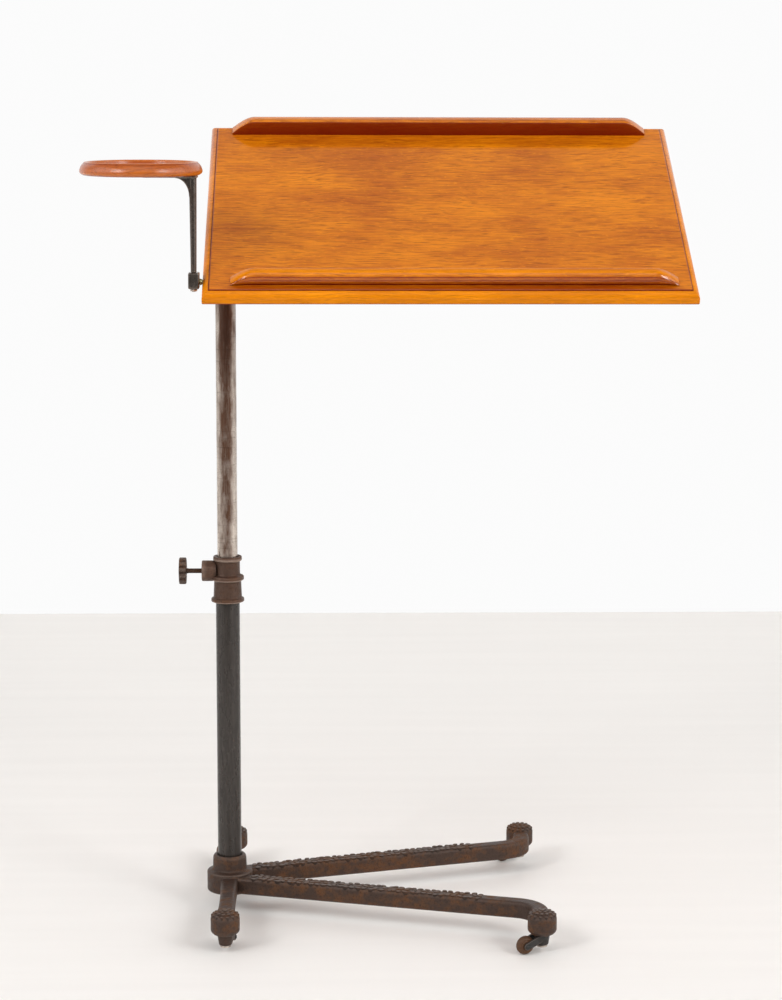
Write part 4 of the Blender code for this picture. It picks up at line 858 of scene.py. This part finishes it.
class READINGSTAND_OT_collar(bpy.types.Operator):
    """Cast the clamp collar with its flanges and boss, and turn its thumbscrew"""

    bl_idname = "reading_stand.collar"
    bl_label = "Clamp collar"

    def execute(self, context):
        low, high = extent("clamp_collar", COLUMN)
        top, reach = (high[2] - low[2]) / MM, -low[0] / MM
        # Rows of radius, height and easing in millimetres, and a mark. The marks paint light and shade: highlight
        # lines along the lower edge of each flange, and painted shade on the drums between the flanges and in the
        # bore.
        rows = [
            (20.8, 0.0, 0.5, 0.6), (21.6, 0.6, 0.5, 1.0), (21.6, 2.0, 0.4, 0.0), (21.6, 4.3, 1.2, 0.1),
            (18.6, 5.7, 1.0, -0.4), (17.7, 27.0, 1.0, -0.4), (19.6, 28.4, 0.5, 0.8), (21.3, 29.4, 0.5, 1.0),
            (21.3, 30.8, 0.4, 0.0), (21.3, 34.0, 1.4, 0.1), (16.4, 36.0, 1.2, -0.4), (16.1, 53.2, 1.0, -0.4),
            (18.0, 54.6, 0.5, 0.8), (18.9, 55.6, 0.5, 0.9), (18.6, top, 1.0, 0.1), (14.0, top, 0.4, -0.6),
            (13.9, 0.0, 0.4, -0.8),
        ]
        body, body_marks = worked(rows, 5, closed=True)
        # On the boss, a painted highlight round the edge of its face and painted shade where it meets the body.
        rows = [(0.0, reach, 0.0, 0.0), (13.6, reach, 1.6, 0.45), (13.6, 20.0, 0.8, -0.1)]
        rows += [(13.0, 14.5, 0.4, -0.7), (0.0, 14.5, 0.0, 0.0)]
        boss, boss_marks = worked(rows, 6)
        screw = COLUMN @ at(0.0, 0.0, JOINTS["height_screw_turn"]["pos_m"][2]) @ TO_MINUS_X
        shells = [ring(body, 120, COLUMN @ at(0.0, 0.0, low[2])), turned(boss, 72, screw)]
        marks = [looped(body_marks), boss_marks]
        make("cast_collar", shells, "collar", "base", "clamp_collar", marks=marks)
        thumbscrew("height_thumbscrew", "height_screw", 0.0100, 0.0034, screw, "iron")
        return {"FINISHED"}


def cast_bracket(side):
    """Boss round the bar, a web that widens upwards and a foot with rounded ends."""
    node = f"board_bracket_{side}"
    low, high = extent(node, DESK)
    half, top = (high[0] - low[0]) / 2.0, high[2]
    place = DESK @ at((low[0] + high[0]) / 2.0, 0.0, 0.0)
    boss = rounded_rectangle((0.0073, -half), (0.0120, half), 0.0009, 5)
    foot = rounded_rectangle((-half, low[1]), (half, high[1]), 0.010, 8)
    web = [(-0.0095, 0.0060), (-0.0310, top - 0.0025), (0.0310, top - 0.0025), (0.0095, 0.0060)]
    web = eased(web, 0.003, 4, closed=True)
    shells = [ring(boss, 64, place @ TO_PLUS_X), prism(foot, top - 0.005, top, 0.0009, place)]
    shells.append(prism(web, -0.0045, 0.0045, 0.001, place @ UPRIGHT_ACROSS))
    make(f"cast_bracket_{side}", shells, "iron", "desk", node, fuse=CAST)


class READINGSTAND_OT_head(bpy.types.Operator):
    """Cast the tilting head and its two screws, the bar, its collar and the brackets under the board"""

    bl_idname = "reading_stand.head"
    bl_label = "Tilting head"

    def execute(self, context):
        low, high = extent("head_casting", HEAD)
        swivel = HEAD @ at(0.0, 0.0, -0.042) @ TO_PLUS_Y
        tilt = HEAD @ at(0.036, 0.0, 0.0) @ TO_MINUS_Z
        sleeve = [(0.019, -0.005), (0.019, low[2]), (0.0136, low[2]), (0.0136, -0.018)]
        barrel = [(0.014, low[0]), (0.014, high[0])]
        shells = [shaft(sleeve, 0.0016, 5, 72, HEAD), shaft(barrel, 0.0018, 5, 64, HEAD @ TO_PLUS_X)]
        for place, start, reach in ((swivel, 0.0145, high[1]), (tilt, 0.009, 0.020)):
            shells.append(shaft([(0.0090, start), (0.0085, reach)], 0.001, 5, 44, place))
        make("cast_head", shells, "iron", "head", "head_casting", fuse=CAST)
        for name, place in (("swivel", swivel), ("tilt", tilt)):
            thumbscrew(f"{name}_thumbscrew", f"{name}_screw", 0.0080, 0.0055, place, "steel")

        low, high = extent("tilt_bar", DESK)
        flange = low[0] + 0.003
        bar = [(0.0105, low[0]), (0.0105, flange), (0.0070, flange), (0.0070, high[0])]
        make("steel_tilt_bar", [shaft(bar, 0.0008, 5, 56, DESK @ TO_PLUS_X)], "steel", "desk", "tilt_bar")
        low, high = extent("bar_collar", DESK)
        section = rounded_rectangle((0.0073, low[0]), (high[1], high[0]), 0.0010, 5)
        make("steel_bar_collar", [ring(section, 56, DESK @ TO_PLUS_X)], "steel", "desk", "bar_collar")
        for side in ("left", "right"):
            cast_bracket(side)
            pin_materials = frame["nodes"][f"bracket_pin_{side}"].data.materials
            pin_materials.clear()
            pin_materials.append(finish("steel")[1])
        return {"FINISHED"}


# Base casting: profiles in millimetres as rows of radius, height and easing, other lengths in metres

HUB = [
    (0.0, 23.5, 0.0), (28.5, 23.5, 1.2), (30.0, 25.2, 1.2), (30.1, 50.5, 1.6), (22.6, 52.8, 1.2), (22.0, 70.0, 1.4),
    (19.8, 73.0, 1.2), (17.2, 73.0, 0.8), (16.0, 71.5, 0.8), (16.0, 30.0, 1.0), (0.0, 30.0, 0.0),
]
DRUM = [
    (0.0, 24.0, 0.0), (14.4, 24.0, 1.6), (18.5, 28.4, 2.0), (18.5, 46.2, 2.4), (16.3, 50.0, 1.6),
    (11.5, 53.0, 2.0), (0.0, 54.5, 0.0),
]
LEG_WIDTH, LEG_LOW, LEG_TOP = 0.0220, 0.0256, 0.0476
LEG_EASE = [0.0022, 0.0022, 0.0056, 0.0056]
LEG_SPREAD, LEG_START = 0.0150, 0.014
LEG_TOE, LEG_BEND = 0.056, 0.036
SHORT_WIDTH, SHORT_LOW, SHORT_TOP = 0.0230, 0.0262, 0.0466
SHORT_FROM, SHORT_TO, SHORT_WAIST = 0.0168, 0.178, 0.13
RELIEF_FROM, RELIEF_TO, RELIEF_SEED = 0.022, 0.331, 11
ROW_GAP, STRAY_ASIDE, STRAY_ALONG, STRAY_LEAN = 0.0070, 0.0012, 0.0024, 0.9
# Rings of bosses on a drum's top: how many, at what radius and at what height
BOSS_RINGS = ((6, 0.0062, 0.0534), (11, 0.0112, 0.0524), (14, 0.0152, 0.0496))
SWELLING_MARKS = np.array([-0.9, -0.9, -0.6, 0.5, 0.9, 0.9])[:, None]


def swelling(spot, ahead, long, wide, top, rise):
    """A low dome on a pointed oval plan at a height: the plan shrinks in steps while it rises from below."""
    angle = circle(16)
    beside = np.array([-ahead[1], ahead[0]])
    pointed = np.sign(np.sin(angle)) * np.abs(np.sin(angle)) ** 1.4
    plan = ahead * (long * np.cos(angle))[:, None] + beside * (wide * pointed)[:, None]
    share = np.array([1.0, 1.0, 0.84, 0.5])[:, None, None]
    level = np.array([-0.0036, 0.0001, 0.75 * rise, rise])[:, None, None]
    return moved(capped(raised(spot + plan * share, top + level)), COLUMN)


def long_path(side, foot):
    """Plan of a long leg and its sideways directions: straight from outside the hub's bore, an arc outwards,
    then straight into its foot."""
    root = np.array([0.0, side * LEG_SPREAD])
    corner = foot - [0.0, side * LEG_TOE]
    along = (corner - root) / np.linalg.norm(corner - root)
    turn = math.acos(along[1] * side)
    inward = np.array([-along[1], along[0]]) * side
    start = corner - along * LEG_BEND * math.tan(turn / 2.0)
    root = root + along * LEG_START
    straight = root + (start - root) * np.linspace(0.0, 1.0, 60)[:-1, None]
    angle = np.linspace(0.0, turn, 16)[:, None]
    bend = start + inward * LEG_BEND + LEG_BEND * (-inward * np.cos(angle) + along * np.sin(angle))
    path = np.vstack([straight, bend, foot[None] * 0.35 + bend[-1:] * 0.65])
    heading = np.gradient(path, axis=0)
    heading /= np.linalg.norm(heading, axis=1, keepdims=True)
    return path, np.column_stack([-heading[:, 1], heading[:, 0]])


def leg_shell(path, across, width, low, high):
    """A leg's section, soft on top and crisper below, carried along its plan at a width for each station."""
    outline = rounded_rectangle((-LEG_WIDTH / 2.0, low), (LEG_WIDTH / 2.0, high), LEG_EASE, 7)
    wide = np.broadcast_to(width, (len(path),))[:, None, None] / LEG_WIDTH
    plan = path[:, None] + across[:, None] * outline[None, :, :1] * wide
    return moved(capped(raised(plan, outline[:, 1:])), COLUMN)


def leg_relief(path, across):
    """Worn cast relief along a leg's top: small pointed ovals in three loose rows, each with its own lean and
    wear."""
    own = sizes()
    run = np.concatenate([[0.0], np.cumsum(np.linalg.norm(np.diff(path, axis=0), axis=1))])
    stations = np.arange(RELIEF_FROM, RELIEF_TO, own.relief_pitch)
    centre, side = (
        np.column_stack([np.interp(stations, run, axis) for axis in line.T]) for line in (path, across)
    )
    chance = np.random.default_rng(RELIEF_SEED)
    shells = []
    for middle, right in zip(centre, side):
        ahead = np.array([right[1], -right[0]])
        for hand in (-1.0, 0.0, 1.0):
            aside, along, lean, wear, size = chance.uniform(-1.0, 1.0, 5)
            spot = middle + right * (ROW_GAP * hand + STRAY_ASIDE * aside) + ahead * STRAY_ALONG * along
            slant = ahead * math.cos(STRAY_LEAN * lean) - right * math.sin(STRAY_LEAN * lean)
            rise = own.relief * (0.70 + 0.45 * wear)
            shells.append(swelling(spot, slant, 0.0044 + 0.0010 * size, 0.0029, LEG_TOP, rise))
    return shells


def drum_bosses(place):
    """Worn bosses on a drum's top: three rings of small ovals round one in the middle, the outer on its
    shoulder."""
    centre = np.array(place.translation)[:2] - np.array(COLUMN.translation)[:2]
    shells = [swelling(centre, np.array([1.0, 0.0]), 0.0034, 0.0034, 0.0541, 0.0014)]
    for count, radius, top in BOSS_RINGS:
        out = ways(circle(count))
        shells += [swelling(centre + radius * way, way, 0.0028, 0.0026, top, 0.0013) for way in out]
    return shells


class READINGSTAND_OT_base(bpy.types.Operator):
    """Cast the base: hub, long and short legs, drum feet and the worn relief on top of them"""

    bl_idname = "reading_stand.base"
    bl_label = "Base"

    def execute(self, context):
        near, far, worn = [turned(worked(HUB, 6)[0], 96, COLUMN)], [], []
        for side, end in ((-1.0, "front"), (1.0, "rear")):
            foot = Vector(JOINTS[f"castor_swivel_{end}_right"]["pos_m"]) - COLUMN.translation
            path, across = long_path(side, np.array(foot[:2]))
            far.append(leg_shell(path, across, LEG_WIDTH, LEG_LOW, LEG_TOP))
            worn += leg_relief(path, across)
            path = np.column_stack([np.zeros(12), side * np.linspace(SHORT_FROM, SHORT_TO, 12)])
            across = np.tile([1.0, 0.0], (12, 1))
            waist = 1.0 - SHORT_WAIST * np.sin(np.linspace(0.0, np.pi, 12))
            near.append(leg_shell(path, across, SHORT_WIDTH * waist, SHORT_LOW, SHORT_TOP))
        for foot in FEET:
            place = foot_place(foot)
            (near if foot.endswith("left") else far).append(turned(worked(DRUM, 6)[0], 72, place))
            worn += drum_bosses(place)
        for name, shells in (("cast_hub_and_short_legs", near), ("cast_long_legs", far)):
            make(name, shells, "iron", "base", "base_casting", fuse=BASE_CAST)
        make("cast_relief", worn, "iron", "base", "base_casting", marks=[SWELLING_MARKS] * len(worn))
        return {"FINISHED"}


def make_castor(foot, place, trail, radius):
    """One castor on its swivel's place, whose X points to the wheel's axle."""
    low, high = extent(f"castor_pintle_{foot}", place)
    flange = low[2] + 0.0025
    pin = [(0.0070, low[2]), (0.0070, flange), (0.0040, flange), (0.0040, high[2])]
    pin = shaft(pin, [0.0012, 0.0008, 0.0002, 0.0006], 5, 40, place)
    make(f"castor_pin_{foot}", [pin], "steel", "base", f"castor_pintle_{foot}")

    top = extent(f"castor_horn_{foot}", place)[1][2]
    boss = [(0.0043, 0.0100), (0.0080, 0.0100), (0.0098, top - 0.0030), (0.0098, top), (0.0043, top)]
    boss = eased(boss, [0.0006, 0.001, 0.002, 0.0008, 0.0006], 5, closed=True)
    cheek = 0.0046
    upper, lower = np.array([0.0070, top - cheek]), np.array([trail, radius])
    lean = math.atan2(lower[1] - upper[1], lower[0] - upper[0])
    turn = np.linspace(-np.pi / 2.0, np.pi / 2.0, 14) + lean
    ends = ((lower, turn), (upper, turn + np.pi))
    outline = np.vstack([end + cheek * ways(angle) for end, angle in ends])
    shells = [ring(boss, 64, place)]
    for near, far in ((-0.0090, -0.0060), (0.0060, 0.0090)):
        shells.append(prism(outline, near, far, 0.0006, place @ TO_MINUS_Y))
    look = "horn" if foot.endswith("right") else "iron"
    make(f"castor_fork_{foot}", shells, look, f"castor_{foot}", f"castor_horn_{foot}", fuse=HORN_CAST)

    place = place @ at(trail, 0.0, radius) @ TO_PLUS_Y
    reach = extent(f"castor_axle_{foot}", place)[1][2]
    half = [(0.0020, -reach), (0.0032, 0.0012 - reach), (0.0020, 0.0012 - reach)]
    axle = shaft(mirrored(half), 0.0005, 4, 32, place)
    node, body = f"castor_axle_{foot}", f"castor_{foot}"
    make(f"castor_rivet_{foot}", [axle], "horn", body, node, slot="hardware_steel")

    half = [(0.0023, -0.0055), (0.0062, -0.0055), (0.0068, -0.0047)]
    half += [(radius - 0.0028, -0.0047), (radius, -0.0021)]
    ease = [0.0004, 0.0005, 0.0005, 0.0016, 0.003]
    tread = eased(mirrored(half), ease + ease[::-1], 5, closed=True)
    make(f"castor_roller_{foot}", [ring(tread, 72, place)], "castor", f"wheel_{foot}", f"castor_wheel_{foot}")


class READINGSTAND_OT_castors(bpy.types.Operator):
    """Make the four castors: pintle, horn, axle and wheel"""

    bl_idname = "reading_stand.castors"
    bl_label = "Castors"

    def execute(self, context):
        for foot in FEET:
            swivel, roll = (JOINTS[f"castor_{motion}_{foot}"]["pos_m"] for motion in ("swivel", "roll"))
            trail = Vector(roll) - Vector(swivel)
            place = foot_place(foot) @ Matrix.Rotation(math.atan2(trail.y, trail.x), 4, "Z")
            make_castor(foot, place, math.hypot(trail.x, trail.y), roll[2])
        return {"FINISHED"}


def wood_screws(name, place, body, nodes):
    grids = [wood_screw(node, place, turn) for turn, node in enumerate(nodes)]
    make(name, grids, "steel", body, *nodes)


def wood_screw(node, place, turn):
    """A turned screw whose head face is cut down along a straight slot, at an angle of its own."""
    low, high = extent(node, place)
    centre = (low + high) / 2.0
    long, head = high[2] - low[2], (high[0] - low[0]) / 2.0
    shank, rings = 0.0018, 14
    face = [(head * share, 0.0) for share in np.linspace(0.0, 1.0, rings)]
    grid = turned(face + [(shank, head - shank), (shank, long - 0.003), (0.0, long)], 48)
    in_slot = np.abs(grid[:rings, :, 1]) < 0.0005
    grid[:rings, :, 2] = np.where(in_slot, 0.0009, 0.0)
    return moved(grid, place @ at(centre[0], centre[1], low[2]) @ Matrix.Rotation(0.9 * turn, 4, "Z"))


class READINGSTAND_OT_screws(bpy.types.Operator):
    """Make the countersunk screws with slotted heads under the board and the tray"""

    bl_idname = "reading_stand.screws"
    bl_label = "Wood screws"

    def execute(self, context):
        spots = ("left", "middle", "right")
        nodes = [f"{ledge}_screw_{spot}" for ledge in ("front_ledge", "rear_ledge") for spot in spots]
        nodes += [f"bracket_screw_{side}_{end}" for side in ("left", "right") for end in ("front", "rear")]
        wood_screws("board_screws", DESK, "desk", nodes)
        wood_screws("tray_screws", ARM, "tray", ["tray_screw_inner", "tray_screw_outer"])
        return {"FINISHED"}


# Stage

HALF_WIDE, FLOOR_FRONT, WALL_AT, WALL_TOP = 3.4, -2.6, 1.88, 3.6
FLOOR_STREAK = 0.975
# Strengths of the surround: ahead, at the sides, overhead, to the camera and at least in metal and glass
AHEAD, ASIDE, OVERHEAD, TO_CAMERA, IN_METAL = 0.10, 0.90, 0.27, 0.93, 0.27
WORLD_COLOUR = (1.0, 0.99, 0.98, 1.0)
LENS, SENSOR = 93.6, 36.0
PITCH, YAW, ROLL = (math.radians(angle) for angle in (9.606, 1.640, 0.168))
CAMERA_FROM_COLUMN = Vector((0.1180, -3.3467, 1.1171))


def stage_sheet(name, low, high, material):
    """A flat sheet across X between two lines, each given by its Y and Z."""
    corners = [(-HALF_WIDE, *low), (HALF_WIDE, *low), (HALF_WIDE, *high), (-HALF_WIDE, *high)]
    mesh = bpy.data.meshes.new(name)
    mesh.from_pydata(corners, [], [(0, 1, 2, 3)])
    mesh.materials.append(material)
    obj = bpy.data.objects.new(name, mesh)
    bpy.context.scene.collection.objects.link(obj)
    return obj


def floor_paint(colour):
    """Pale scrubbed boards, barely marked."""
    material, net, shader, vector = blank("pale floor")
    streak = net.between(net.noise(vector, (1.4, 26.0, 1.0), 4.0), 0.3, 0.7)
    shade = net.mixed(streak, np.multiply(colour, FLOOR_STREAK), colour)
    net.feed(shader, {"Base Color": shade, "Roughness": 0.6})
    return material


def wall_paint(colour):
    """A backdrop that reads as white to the camera and in metal and glass, and is clear from behind."""
    material, net, shader, _ = blank("white backdrop")
    net.feed(shader, {"Base Color": (*colour, 1.0), "Roughness": 1.0})
    seen = net.larger(*net.rays())
    glow = net.put("ShaderNodeEmission", {"Color": (*colour, 1.0), "Strength": 1.0})
    clear = net.put("ShaderNodeBsdfTransparent")
    lit = net.put("ShaderNodeMixShader", {0: seen, 1: shader.outputs[0], 2: glow.outputs[0]})
    behind = net.put("ShaderNodeNewGeometry").outputs["Backfacing"]
    both = net.put("ShaderNodeMixShader", {0: behind, 1: lit.outputs[0], 2: clear.outputs[0]})
    net.feed(net.tree.nodes["Material Output"], {"Surface": both.outputs[0]})
    return material


def area_lamp(name, spot, target, size, power):
    data = bpy.data.lights.new(name, "AREA")
    data.shape = "SQUARE"
    data.size = size
    data.energy = power
    obj = bpy.data.objects.new(name, data)
    obj.location = spot
    obj.rotation_euler = (Vector(target) - Vector(spot)).to_track_quat("-Z", "Y").to_euler()
    bpy.context.scene.collection.objects.link(obj)


def surround(scene):
    """A surround that lights from both sides, less from overhead and little from the front. The camera sees
    it pale, and metal and glass see no less than its overhead."""
    scene.world = bpy.data.worlds.new("studio")
    scene.world.use_nodes = True
    net = Shading(scene.world.node_tree)
    part = net.parts(net.put("ShaderNodeTexCoord").outputs["Generated"])
    aside = net.plus(net.between(part["X"], 0.30, 0.65), net.between(part["X"], -0.70, -0.95))
    shade = net.between(part["Z"], 0.25, 0.75, net.between(aside, 0.0, 1.0, AHEAD, ASIDE), OVERHEAD)
    camera_ray, metal_ray = net.rays()
    shade = net.larger(shade, net.times(camera_ray, TO_CAMERA))
    shade = net.larger(shade, net.times(metal_ray, IN_METAL))
    net.feed(net.tree.nodes["Background"], {"Color": WORLD_COLOUR, "Strength": shade})


def place_camera(scene):
    """A long lens from the reader's side, a little above the board and turned to its right."""
    data = bpy.data.cameras.new("camera")
    data.lens, data.sensor_width = LENS, SENSOR
    obj = bpy.data.objects.new("camera", data)
    ahead = Vector((math.sin(YAW) * math.cos(PITCH), math.cos(YAW) * math.cos(PITCH), -math.sin(PITCH)))
    right = Vector((math.cos(YAW), -math.sin(YAW), 0.0))
    up = right.cross(ahead)
    side = right * math.cos(ROLL) + up * math.sin(ROLL)
    top = up * math.cos(ROLL) - right * math.sin(ROLL)
    place = Matrix((side, top, -ahead)).transposed().to_4x4()
    place.translation = COLUMN.translation + CAMERA_FROM_COLUMN
    obj.matrix_world = place
    scene.collection.objects.link(obj)
    scene.camera = obj


class READINGSTAND_OT_stage(bpy.types.Operator):
    """Set the floor, the backdrop, the soft lights and the camera"""

    bl_idname = "reading_stand.stage"
    bl_label = "Stage"

    def execute(self, context):
        scene, tone = context.scene, colours()
        scene.view_settings.view_transform = "Standard"
        low, high = (FLOOR_FRONT, 0), (WALL_AT, 0)
        floor = stage_sheet("floor", low, high, floor_paint(tone["floor"]))
        wall = stage_sheet("backdrop", high, (WALL_AT, WALL_TOP), wall_paint(tone["wall"]))
        area_lamp("overhead", (-0.3, -2.8, 4.6), (0.0, 0.1, 0.5), 3.6, 40.0)
        for side in (-1.0, 1.0):
            area_lamp("front", (side * 3.6, -3.6, 3.4), (0.0, 0.0, 0.2), 1.9, 116.0)
            area_lamp("side", (side * 3.2, -0.7, 2.5), (0.0, 0.0, 0.5), 2.2, 22.0)
        surround(scene)
        place_camera(scene)
        return {"FINISHED"}


# Panel and registration


class READINGSTAND_PT_panel(bpy.types.Panel):
    """The steps of the reading stand, in the order in which they run"""

    bl_idname = "READINGSTAND_PT_panel"
    bl_label = "Reading Stand"
    bl_space_type = "VIEW_3D"
    bl_region_type = "UI"
    bl_category = "Reading Stand"

    def draw(self, context):
        for step in STEPS:
            self.layout.operator(step.bl_idname)
        for group in (context.scene.reading_stand_sizes, context.scene.reading_stand_colours):
            column = self.layout.column(align=True)
            for key in group.__annotations__:
                column.prop(group, key)


STEPS = (
    READINGSTAND_OT_board,
    READINGSTAND_OT_ledges,
    READINGSTAND_OT_tray,
    READINGSTAND_OT_tray_arm,
    READINGSTAND_OT_column,
    READINGSTAND_OT_collar,
    READINGSTAND_OT_head,
    READINGSTAND_OT_base,
    READINGSTAND_OT_castors,
    READINGSTAND_OT_screws,
    READINGSTAND_OT_stage,
)
CLASSES = (ReadingStandSizes, ReadingStandColours, *STEPS, READINGSTAND_PT_panel)


def register():
    for cls in CLASSES:
        bpy.utils.register_class(cls)
    bpy.types.Scene.reading_stand_sizes = PointerProperty(type=ReadingStandSizes)
    bpy.types.Scene.reading_stand_colours = PointerProperty(type=ReadingStandColours)


def unregister():
    del bpy.types.Scene.reading_stand_colours
    del bpy.types.Scene.reading_stand_sizes
    for cls in reversed(CLASSES):
        bpy.utils.unregister_class(cls)


def main():
    register()
    stand = bpy.ops.reading_stand
    stand.board()
    stand.ledges()
    stand.tray()
    stand.tray_arm()
    stand.column()
    stand.collar()
    stand.head()
    stand.base()
    stand.castors()
    stand.screws()
    stand.stage()


if __name__ == "__main__":
    main()
